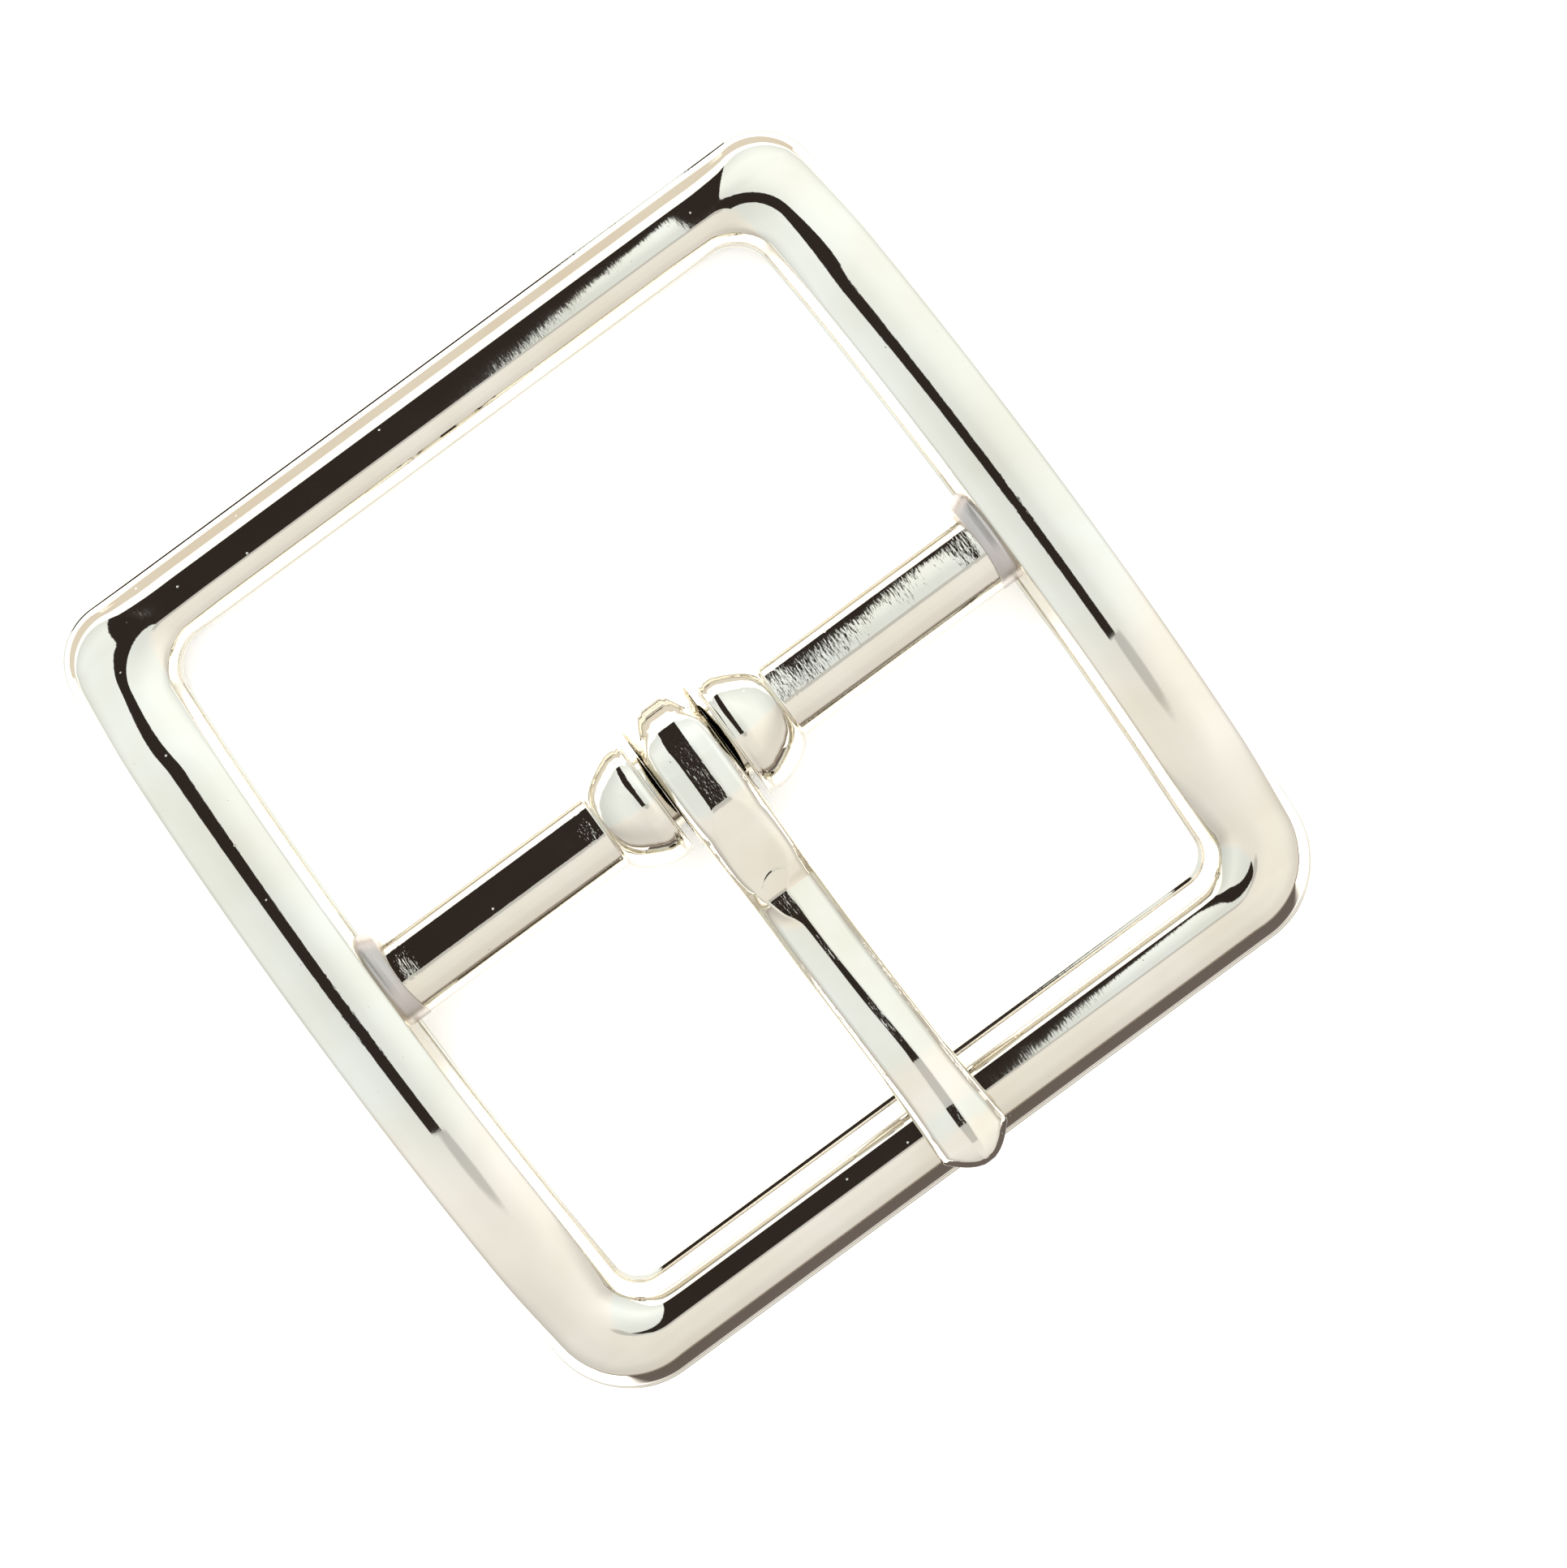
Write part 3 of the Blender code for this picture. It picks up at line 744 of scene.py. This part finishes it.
@dataclass
class Tongue:
    """The tongue: one plated strip curled round the centre bar, with a narrow neck and a ridged prong."""

    plate: Material
    bar_y: float = 0.275
    axis_z: float = 4.2
    hole_radius: float = 2.625
    hole_slack: float = 0.3
    slack_turn: float = 30.0
    hole_end: float = 2.6
    underside: float = 0.542
    loop_half_width: float = 2.065
    loop_strip: float = 0.60
    loop_crown: float = 0.15
    loop_middle: float = 0.085
    tail_angle: float = -183.5
    chamfer: float = 0.5
    heel_chamfer: float = 1.15
    behind_bar: float = 1.6
    above_bottom: float = -3.6
    heel_ease: float = 2.0
    underside_chamfer: float = 0.25
    edge_round: float = 0.12
    soft_round: float = 0.2
    heel_round: float = 0.35
    upper_round: float = 0.85
    crease_least: float = 0.03
    crease_share: float = 0.12
    crease_most: float = 0.3
    strip_most: float = 0.8
    bevel_most: float = 0.6
    low_most: float = 0.3
    lip_most: float = 0.2
    middle: float = 0.04
    lean: float = 0.017
    lean_from: float = 12.0
    crimp_depth: float = 0.014
    crimp_reach: float = 6.90
    crimp_bow: float = 0.32
    bow_half_width: float = 0.78
    crimp_in: float = 0.09
    crimp_out: float = 0.13
    crimp_half_width: float = 1.05
    crimp_fade: float = 0.3
    top_from: float = 0.85
    top_over: float = 0.1
    prong_rows: int = 225
    tip_from: float = 24.4
    tip_rows: int = 60
    neck_low: float = 6.7
    neck_end: float = 8.6
    neck_rows: int = 90
    curl_rows: int = 220
    flats: tuple[int, ...] = (3, 8, 4, 14, 30, 14, 4, 8, 3, 16)

    def along_prong(self) -> tuple[Array, Array, Array, Array, Array]:
        """Sections from the tip to over the bar, as curves through the named slices.

        The underside follows the round hole until it leaves it for the prong's own line.

        Returns:
            Underside points, top points, half widths, half strip widths with gables, and ridge places.
        """
        table = np.array([s[1:] for s in TONGUE_SLICES])
        even = np.linspace(0.0, table[-1, 0], self.prong_rows)
        at_tip = np.linspace(self.tip_from, table[-1, 0], self.tip_rows)[:-1]
        at_crimp = np.linspace(self.neck_low, self.neck_end, self.neck_rows)
        reach = np.unique(np.concatenate([even, at_tip, at_crimp]))[::-1]
        rows = through(table[:, 0], table[:, 1:], reach)
        hole = np.sqrt(np.maximum(self.hole_radius**2 - reach**2, 0.0))
        line = np.where(reach < self.hole_end, np.minimum(rows[:, 1], self.underside), rows[:, 1])
        under, top = (np.stack([-reach, up], axis=-1) for up in (np.maximum(hole, line), rows[:, 2]))
        return under, top, rows[:, 0], rows[:, 3:5], rows[:, 5]

    def along_curl(self) -> tuple[Array, Array, Array, Array, Array]:
        """Sections from over the bar round behind it and under it to the tail.

        The inner skin is the round hole, its heel half moved back by the slack; the outer skin is the curve
        through the named points.

        Returns:
            The same five things as along the prong.
        """
        angle = np.linspace(90, self.tail_angle, self.curl_rows + 1)[1:]
        turn = np.radians(angle)
        slack = self.hole_slack * eased((90 - np.abs(angle)) / self.slack_turn + 0.5)
        under = np.stack([slack + self.hole_radius * np.cos(turn), self.hole_radius * np.sin(turn)], axis=-1)
        top = through(-CURL_SKIN[:, 0], CURL_SKIN[:, 1:], -angle, Turn.ROUND)
        n = len(angle)
        strips = np.tile([self.loop_strip, self.loop_crown], (n, 1))
        return under, top, np.full(n, self.loop_half_width), strips, np.full(n, self.loop_middle)

    def crimp(self, x: Array, reach: Array) -> Array:
        """Depth of the crimp, a shallow arched step in the neck's top.

        Its edge is a parabola across the neck. Beyond the edge the depth fades in over a tenth of a millimetre
        and out again over little more, and it fades out towards both sides.

        Args:
            x: places across the neck.
            reach: their distances from the bar's axis.

        Returns:
            A depth for each place.
        """
        aside = x - self.middle
        beyond = reach - self.crimp_reach - self.crimp_bow * (aside / self.bow_half_width) ** 2
        pressed = eased(beyond / self.crimp_in) * (1 - eased((beyond - self.crimp_in) / self.crimp_out))
        return self.crimp_depth * pressed * eased((self.crimp_half_width - np.abs(aside)) / self.crimp_fade)

    def build(self) -> None:
        """Makes the tongue as one closed strip and gives it to the tongue body.

        Across the strip each section is a ten-cornered outline with rounded corners: bevelled underside,
        upright edges, chamfers, and a top that slopes up to a flat strip along the ridge. The chamfers widen
        where the curl turns down behind the bar. No chamfer or rounding takes more than its share of a side.
        """
        parts = [np.concatenate(pair) for pair in zip(self.along_prong(), self.along_curl())]
        under, top, half, strips, ridge = parts
        strip, gable = strips[:, 0], strips[:, 1]
        across = top - under
        thickness = np.linalg.norm(across, axis=1)
        normal = across / thickness[:, None]
        shoulder = thickness - gable
        behind = eased((top[:, 0] - self.behind_bar) / self.heel_ease)
        behind *= eased((top[:, 1] - self.above_bottom) / self.heel_ease)
        strip = np.minimum(strip, self.strip_most * half)
        bevel = self.chamfer + (self.heel_chamfer - self.chamfer) * behind
        bevel = np.minimum(bevel, self.bevel_most * (half - strip))
        low = np.minimum(self.underside_chamfer, self.low_most * half)
        lip = np.minimum(low, self.lip_most * thickness)
        drop = np.maximum(shoulder - bevel, 2 * lip)
        middle = self.middle + self.lean * np.maximum(-top[:, 0] - self.lean_from, 0)
        off = ridge - middle
        right = [(half - low, 0 * half), (half, lip), (half, drop), (half - bevel, shoulder)]
        corners = right + [(strip + off, thickness), (off - strip, thickness)]
        corners += [(-x, up) for x, up in reversed(right)]
        outline = np.stack([np.stack(corner, axis=-1) for corner in corners], axis=1)
        edge = np.full_like(half, self.edge_round)
        soft = self.soft_round + self.heel_round * behind
        crease = np.minimum(self.crease_least + self.crease_share * strip, self.crease_most)
        side = [edge, edge, soft, self.upper_round * soft, crease]
        smooth = rounded_outline(outline, np.stack(side + side[::-1], axis=-1), self.flats)
        x, up = smooth[:, :, 0] + middle[:, None], smooth[:, :, 1]
        reach = -(under[:, :1] + normal[:, :1] * up)
        on_top = eased((up / thickness[:, None] - self.top_from) / self.top_over)
        up = up - self.crimp(x, reach) * on_top
        y = self.bar_y + under[:, :1] + normal[:, :1] * up
        z = self.axis_z + under[:, 1:] + normal[:, 1:] * up
        piece = surface("tongue_strip", np.stack([x, y, z], axis=-1), self.plate)
        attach(piece, "tongue")
        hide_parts("tongue")
        log.info("%s: %d faces", piece.name, len(piece.data.polygons))


@dataclass(frozen=True)
class NickelPlate:
    """Bright nickel plate on a polished zinc die-casting.

    To the eye it is a mirror with a faint warm tint. The polished zinc under the plate leaves an orange peel of
    shallow dimples that frays the edges of what it reflects, fine lines from the polishing wheel, a few pits
    where the casting was porous, and a hazier skin where it has been handled.

    Patterns are sized in millimetres; depths are heights of relief in thousandths of a millimetre.
    """

    name: str
    plate: str = "#DDD8CC"
    warm: str = "#D6CFBF"
    polish: float = 0.02
    haze: float = 0.02
    cloud_size: float = 7.0
    smudge_size: float = 2.2
    peel_size: float = 0.22
    peel_depth: float = 0.9
    line_width: float = 0.12
    line_length: float = 0.55
    line_depth: float = 1.0
    unevenness: float = 1.2
    pit_spacing: float = 1.25
    pit_size: float = 0.07
    pit_depth: float = 6.0
    pit_haze: float = 0.25
    pit_floor: float = 0.4
    cloud_span: tuple[float, float] = (0.35, 0.68)
    haze_span: tuple[float, float] = (0.38, 0.72)
    relief_span: tuple[float, float] = (0.40, 0.66)
    least_relief: float = 0.4
    beside_bar: tuple[float, float] = (3.4, 2.8)
    unpolished: tuple[float, ...] = ()
    unpolished_reach: float = 1.1
    unpolished_gain: float = 4.0
    open_share: float = 1.0

    def skin(self, tree: Tree, grain: Socket) -> Socket:
        """How rough the cast skin is left: one on the centre bar, the open share where a wheel reaches it.

        Round each named X on both halves of the bar there is more: the gain times a smooth fall over the reach.

        Args:
            tree: the material's nodes.
            grain: the place on the surface, in millimetres.

        Returns:
            The factor on the relief.
        """
        add = partial(add_node, tree)
        ways = add("ShaderNodeSeparateXYZ", (grain,)).node.outputs[:2]
        out, beside = (add(MATH, (way,), operation="ABSOLUTE") for way in ways)
        near = add(RANGE, (beside, *self.beside_bar), **SMOOTH)
        total = add(MATH, (near, 1 - self.open_share, self.open_share), operation="MULTIPLY_ADD")
        for place in self.unpolished:
            off = add(MATH, (out, place), operation="SUBTRACT")
            off = add(MATH, (off,), operation="ABSOLUTE")
            spot = add(RANGE, (off, self.unpolished_reach, 0.0), **SMOOTH)
            spot = add(MATH, (spot, near), operation="MULTIPLY")
            total = add(MATH, (spot, self.unpolished_gain, total), operation="MULTIPLY_ADD")
        return total

    def build(self) -> Material:
        """Makes the material.

        The surface is measured in millimetres by one Mapping node. Cloud noise mixes the two tints, smudge
        noise spreads the roughness, and peel, lines and pits add up to the height that the bump reads.

        Returns:
            The node material.
        """
        material, tree = new_material(self.name)
        add = partial(add_node, tree)
        shader = tree.nodes["Principled BSDF"]
        shader.inputs["Metallic"].default_value = 1.0
        place = add("ShaderNodeTexCoord", (), "Object")
        grain = add("ShaderNodeMapping", {"Vector": place, "Scale": (1 / MM,) * 3})
        along = (1 / self.line_width, 1 / self.line_length, 1 / self.line_length)
        drawn = add("ShaderNodeMapping", {"Vector": grain, "Scale": along})
        cloud, smudge, peel, lines = (
            add(NOISE, {"Vector": where, "Scale": 1 / size, "Detail": detail})
            for where, size, detail in (
                (grain, self.cloud_size, 3.0),
                (grain, self.smudge_size, 6.0),
                (grain, self.peel_size, 1.5),
                (drawn, 1.0, 2.0),
            )
        )
        spots = add("ShaderNodeTexVoronoi", {"Vector": grain, "Scale": 1 / self.pit_spacing}, "Distance")
        rim = self.pit_size / self.pit_spacing
        pits = add(RANGE, (spots, self.pit_floor * rim, rim, 1.0, 0.0), **SMOOTH)
        tints = {0: add(RANGE, (cloud, *self.cloud_span))}
        tints |= {MIX_A: linear_colour(self.plate), MIX_B: linear_colour(self.warm)}
        tree.links.new(add(MIX, tints, MIX_OUT, data_type="RGBA"), shader.inputs["Base Color"])
        hazed = add(RANGE, (smudge, *self.haze_span, self.polish, self.polish + self.haze))
        hazed = add(MATH, (pits, self.pit_haze, hazed), operation="MULTIPLY_ADD")
        tree.links.new(hazed, shader.inputs["Roughness"])
        ripple = add(MATH, (lines, self.line_depth), operation="MULTIPLY")
        ripple = add(MATH, (peel, self.peel_depth, ripple), operation="MULTIPLY_ADD")
        if self.unpolished:
            ripple = add(MATH, (ripple, self.skin(tree, grain)), operation="MULTIPLY")
        least = self.least_relief
        uneven = add(RANGE, (smudge, *self.relief_span, least, least + self.unevenness))
        ripple = add(MATH, (ripple, uneven), operation="MULTIPLY")
        height = add(MATH, (pits, -self.pit_depth, ripple), operation="MULTIPLY_ADD")
        bump = add("ShaderNodeBump", {"Height": height, "Strength": 1.0, "Distance": MICRON})
        tree.links.new(bump, shader.inputs["Normal"])
        return material


FRAME_PLATE = NickelPlate("nickel_plate_on_polished_zinc_frame", unpolished=(18.5, 6.3), open_share=0.35)
# The bosses' plate: a rougher unpolished skin, and a darker lilac-grey colour that is painted shade of the
# recess between the side bar and the centre bar.
RECESS_PLATE_AND_SHADE = NickelPlate(
    "nickel_plate_on_unpolished_zinc_with_painted_shade", plate="#BEB7B3", warm="#B6AEA6", polish=0.30, haze=0.10, unevenness=2.0
)
TONGUE_PLATE = NickelPlate("nickel_plate_on_polished_zinc_tongue", warm="#D4CCBA", cloud_size=5.0)


@dataclass(frozen=True)
class Band:
    """Light of the soft studio at an angle from overhead: minus is to the front, plus to the heel."""

    angle: float
    light: Light


STUDIO_BANDS = (
    Band(-90.0, (1.18, 1.16, 1.15)),
    Band(-76.0, (1.14, 1.12, 1.11)),
    Band(-62.0, (1.00, 0.99, 0.99)),
    Band(-50.0, (0.96, 0.96, 0.96)),
    Band(-38.0, (0.98, 0.98, 0.98)),
    Band(-20.0, (1.09, 1.09, 1.09)),
    Band(-14.0, (1.12, 1.13, 1.14)),
    Band(-5.0, (1.06, 1.15, 1.21)),
    Band(20.0, (1.08, 1.17, 1.22)),
    Band(70.0, (1.16, 1.25, 1.30)),
    Band(72.5, (2.20, 2.20, 2.20)),
    Band(90.0, (2.20, 2.20, 2.20)),
)


class Fall(NamedTuple):
    """How much of a band's light is left at an angle from straight up."""

    angle: float
    share: float


STUDIO_FALL = (
    Fall(0.0, 0.93),
    Fall(9.0, 0.94),
    Fall(18.0, 1.01),
    Fall(32.0, 1.10),
    Fall(48.0, 1.12),
    Fall(62.0, 0.98),
    Fall(76.0, 0.84),
    Fall(90.0, 0.80),
)


class Outline(NamedTuple):
    """Reach of the dark stand to the left and to the right at an overhead angle, in degrees."""

    overhead: float
    left: float
    right: float


STAND_OUTLINE = (
    Outline(-9.0, 9.3, 0.17),
    Outline(10.0, 10.2, 0.36),
    Outline(21.0, 12.1, 0.55),
    Outline(28.0, 13.4, 0.68),
    Outline(36.0, 14.4, 0.85),
    Outline(45.0, 13.4, 1.05),
    Outline(58.0, 9.0, 1.50),
    Outline(71.0, 4.5, 2.40),
)


@dataclass
class Studio:
    """The soft white studio that the bright metal mirrors, with the dark stand and camera over the buckle.

    Directions are told by two angles. The overhead angle is measured from straight up to the heel side, in the
    plane across the centre bar; the side angle is the leaning of the direction to +X.
    """

    stand_front: float = -9.0
    stand_heel: float = 71.0
    stand_edge: float = 0.12
    stand_light: Light = (0.040, 0.031, 0.027)
    lens_dim: float = 0.34
    lens_reach: float = 6.0
    lens_overhead: float = -12.0
    lens_core: float = 0.5
    lens_edge: float = 0.2
    skirting_height: float = 8.5
    skirting_foot: float = 1.0
    skirting_light: Light = (0.34, 0.27, 0.21)
    skirting_ends: tuple[float, float] = (0.45, -0.75)
    right_gain: float = 1.14
    left_gain: float = 0.975
    gain_reach: float = 0.4
    plain: float = 1.9

    @staticmethod
    def ramp_place(overhead: float) -> float:
        """Where an overhead angle from -90 to 90 degrees lies on a ramp from nought to one."""
        return overhead / 180 + 0.5

    @staticmethod
    def ramp(tree: Tree, at: Socket, rows: list[tuple[float, Any]]) -> Socket:
        """Reads a table, straight between its rows.

        Args:
            tree: the tree that gets the node.
            at: where the table is read.
            rows: the table's places, each with its three values.

        Returns:
            The three values, as a colour.
        """
        colour = add_node(tree, "ShaderNodeValToRGB", (at,))
        stops = colour.node.color_ramp.elements
        while len(stops) < len(rows):
            stops.new(1.0)
        for stop, (place, values) in zip(stops, rows):
            stop.position = place
            stop.color = (*values, 1.0)
        return colour

    def stand(self, tree: Tree, overhead: Socket, aside: Socket, place: Socket) -> Socket:
        """How much of the dark stand a direction meets: all between its two ends and its two sides.

        Args:
            tree: the world's nodes.
            overhead: overhead angle of the direction.
            aside: its side angle.
            place: the overhead angle's place on a ramp.

        Returns:
            One inside the stand and nought outside.
        """
        add = partial(add_node, tree)
        rows = [(self.ramp_place(row.overhead), (row.left, row.right, 0.0)) for row in STAND_OUTLINE]
        reach = self.ramp(tree, place, rows)
        left, right, _ = add("ShaderNodeSeparateColor", (reach,)).node.outputs
        edge = self.stand_edge
        spans = (
            (overhead, self.stand_front - 2 * edge, self.stand_front + 2 * edge),
            (overhead, self.stand_heel + 4 * edge, self.stand_heel - 4 * edge),
            (add(MATH, (aside, left), operation="ADD"), -3 * edge, 3 * edge),
            (add(MATH, (right, aside), operation="SUBTRACT"), -edge, edge),
        )
        stand = 1.0
        for span in spans:
            stand = add(MATH, (stand, add(RANGE, span, **SMOOTH)), operation="MULTIPLY")
        return stand

    def build(self) -> None:
        """Makes the world.

        Mirrored rays get the bands by overhead angle, dimmed in a small circle round the lens, darkened to the
        stand's light inside the stand's edges and to the skirting's just over the horizon; all other rays get
        plain white.
        """
        world = bpy.data.worlds.new("soft_white_studio")
        bpy.context.scene.world = world
        world.use_nodes = True
        world.cycles.sampling_method = "NONE"
        tree = world.node_tree
        add = partial(add_node, tree)
        ray = add("ShaderNodeTexCoord", (), "Generated")
        x, y, z = add("ShaderNodeSeparateXYZ", (ray,)).node.outputs
        angles = [add(MATH, (y, z), operation="ARCTAN2")]
        angles += [add(MATH, (way,), operation="ARCSINE") for way in (x, z)]
        overhead, aside, raised = (add(MATH, (angle,), operation="DEGREES") for angle in angles)
        place = add(MATH, (overhead, 1 / 180, 0.5), operation="MULTIPLY_ADD")
        bands = self.ramp(tree, place, [(self.ramp_place(band.angle), band.light) for band in STUDIO_BANDS])
        down = add(MATH, (90.0, raised), operation="SUBTRACT")
        down = add(MATH, (down, 90.0), operation="DIVIDE")
        falls = self.ramp(tree, down, [(fall.angle / 90, (fall.share,) * 3) for fall in STUDIO_FALL])
        gain = add(RANGE, (x, -self.gain_reach, self.gain_reach, self.left_gain, self.right_gain))
        light = add("ShaderNodeVectorMath", (bands, falls), operation="MULTIPLY")
        light = add("ShaderNodeVectorMath", {0: light, "Scale": gain}, operation="SCALE")
        forward = add(MATH, (overhead, self.lens_overhead), operation="SUBTRACT")
        square = add(MATH, (forward, forward), operation="MULTIPLY")
        apart = add(MATH, (aside, aside, square), operation="MULTIPLY_ADD")
        apart = add(MATH, (apart,), operation="SQRT")
        dim = add(RANGE, (apart, self.lens_reach, self.lens_core * self.lens_reach), **SMOOTH)
        front, edge = self.stand_front, self.lens_edge
        for share in (add(RANGE, (overhead, front + edge, front - edge), **SMOOTH), self.lens_dim):
            dim = add(MATH, (dim, share), operation="MULTIPLY")
        low = add(RANGE, (raised, self.skirting_height, self.skirting_foot), **SMOOTH)
        skirting = add(MATH, (low, add(RANGE, (y, *self.skirting_ends), **SMOOTH)), operation="MULTIPLY")
        black, brown = (*self.stand_light, 1), (*self.skirting_light, 1)
        stand = self.stand(tree, overhead, aside, place)
        for share, shade in ((dim, black), (stand, black), (skirting, brown)):
            light = add(MIX, {0: share, MIX_A: light, MIX_B: shade}, MIX_OUT, data_type="RGBA")
        mirrored = add("ShaderNodeLightPath", (), "Is Glossy Ray")
        seen = {0: mirrored, MIX_A: (self.plain,) * 3 + (1,), MIX_B: light}
        seen = add(MIX, seen, MIX_OUT, data_type="RGBA")
        tree.links.new(seen, tree.nodes["Background"].inputs["Color"])


@dataclass(frozen=True)
class Card:
    """A glowing card of painted shade on the table that only the mirror sees, fading out along its edges. Sizes
    in millimetres.
    """

    name: str
    heel_edge: float
    front_edge: float
    half_width: float
    fade: float
    light: Light
    half_near: float = 500.0
    spread: float = 0.0

    def build(self) -> Material:
        """Makes the card's finish: its glowing painted shade inside, clear outside.

        How much of the card there is rises smoothly from each edge over the fade, along Y and along X; sideways
        it reaches as far as the near half width plus the spread times the distance to the front.

        Returns:
            The node material.
        """
        material, tree = new_material(self.name)
        add = partial(add_node, tree)
        tree.nodes.remove(tree.nodes["Principled BSDF"])
        place = add("ShaderNodeTexCoord", (), "Object")
        x, y, _ = add("ShaderNodeSeparateXYZ", (place,)).node.outputs
        out = add(MATH, (x,), operation="ABSOLUTE")
        beyond = add(MATH, (y, -self.heel_edge * MM), operation="ADD")
        out = add(MATH, (beyond, self.spread, out), operation="MULTIPLY_ADD")
        share = add(RANGE, (out, self.half_near * MM, (self.half_near - 2 * self.fade) * MM), **SMOOTH)
        for edge, way in ((self.heel_edge, -1), (self.front_edge, 1)):
            there = add(RANGE, (y, edge * MM, (edge + way * self.fade) * MM), **SMOOTH)
            share = add(MATH, (share, there), operation="MULTIPLY")
        clear = add("ShaderNodeBsdfTransparent", ())
        glow = add("ShaderNodeEmission", {"Color": (*self.light, 1)})
        both = add("ShaderNodeMixShader", (share, clear, glow))
        tree.links.new(both, tree.nodes["Material Output"].inputs["Surface"])
        return material


# Glowing cards of painted shade and shadow on the table, seen only in the mirror.
PAINTED_SHADE_CARDS = (
    # Painted shadow: the buckle's shadow on the table in front of the front bar, as a dark glowing card.
    Card("front_shade_card", -25.6, -900.0, 700.0, 1.6, (0.20, 0.17, 0.16), half_near=24.0, spread=0.7),
    # Painted shade: the table beside the heel bar in the bars' shade, as a tan glowing card.
    Card("heel_painted_shade_card", 900.0, 33.0, 400.0, 2.5, (1.05, 0.97, 0.86)),
)


@dataclass
class Table:
    """The plain white table, the soft lamp over the heel side, and cards of painted shade that only the mirror
    sees.
    """

    size: float = 6000.0
    drop: float = 0.02
    paper: str = "#F6F6F5"
    paper_roughness: float = 0.9
    lamp_size: float = 320.0
    lamp_reach: float = 420.0
    lamp_height: float = 520.0
    lamp_watts: float = 6.8
    card_lift: float = 0.25

    def sheet(self, name: str, half_width: float, heel: float, front: float, z: float) -> Piece:
        """Lays a level rectangle.

        Args:
            name: name of the piece.
            half_width: half its size along X.
            heel: y of its heel edge.
            front: y of its front edge.
            z: its height.

        Returns:
            The piece.
        """
        mesh = bpy.data.meshes.new(name)
        corners = ((-half_width, front), (half_width, front), (half_width, heel), (-half_width, heel))
        mesh.from_pydata([(x * MM, y * MM, z * MM) for x, y in corners], [], [(0, 1, 2, 3)])
        piece = placed(name, mesh)
        return piece

    def build(self) -> None:
        """Lays the table and the cards, and hangs the lamp."""
        top = self.sheet("table", self.size / 2, self.size / 2, -self.size / 2, -self.drop)
        paper, tree = new_material("matt_white_table")
        shader = tree.nodes["Principled BSDF"]
        shader.inputs["Base Color"].default_value = linear_colour(self.paper)
        shader.inputs["Roughness"].default_value = self.paper_roughness
        shader.inputs["Specular IOR Level"].default_value = 0.0
        top.data.materials.append(paper)
        for card in PAINTED_SHADE_CARDS:
            piece = self.sheet(card.name, card.half_width, card.heel_edge, card.front_edge, self.card_lift)
            piece.data.materials.append(card.build())
            piece.visible_camera = False
            piece.visible_diffuse = False
            piece.visible_shadow = False
        lamp = bpy.data.lights.new("heel_side_softbox", "AREA")
        lamp.shape = "DISK"
        lamp.size = self.lamp_size * MM
        lamp.energy = self.lamp_watts
        holder = placed(lamp.name, lamp)
        holder.location = (0, self.lamp_reach * MM, self.lamp_height * MM)
        holder.rotation_euler = (-math.atan2(self.lamp_reach, self.lamp_height), 0, 0)
        holder.visible_glossy = False


@dataclass
class Lookout:
    """The camera straight over the buckle, rolled as in the photograph."""

    centre_x: float = 3.30
    centre_y: float = -3.46
    height: float = 505.0
    distance: float = 500.0
    frame_width: float = 83.0
    roll: float = 36.4
    sensor: float = 36.0
    sight: float = 20000.0

    def build(self) -> None:
        """Places the camera; its lens is the sensor times the distance over the width it has to take in."""
        data = bpy.data.cameras.new("camera")
        data.sensor_width = self.sensor
        data.lens = self.sensor * self.distance / self.frame_width
        data.clip_end = self.sight * MM
        holder = placed("camera", data)
        holder.location = (self.centre_x * MM, self.centre_y * MM, self.height * MM)
        holder.rotation_euler = (0, 0, math.radians(-self.roll))
        bpy.context.scene.camera = holder


def main() -> None:
    """Builds the casting, the tongue, their finishes and the studio."""
    FrameCasting(FRAME_PLATE.build(), RECESS_PLATE_AND_SHADE.build()).build()
    log.info("frame dressed")
    Tongue(TONGUE_PLATE.build()).build()
    log.info("tongue dressed")
    Studio().build()
    Table().build()
    Lookout().build()
    bpy.context.scene.view_settings.view_transform = "Standard"


if __name__ == "__main__":
    main()
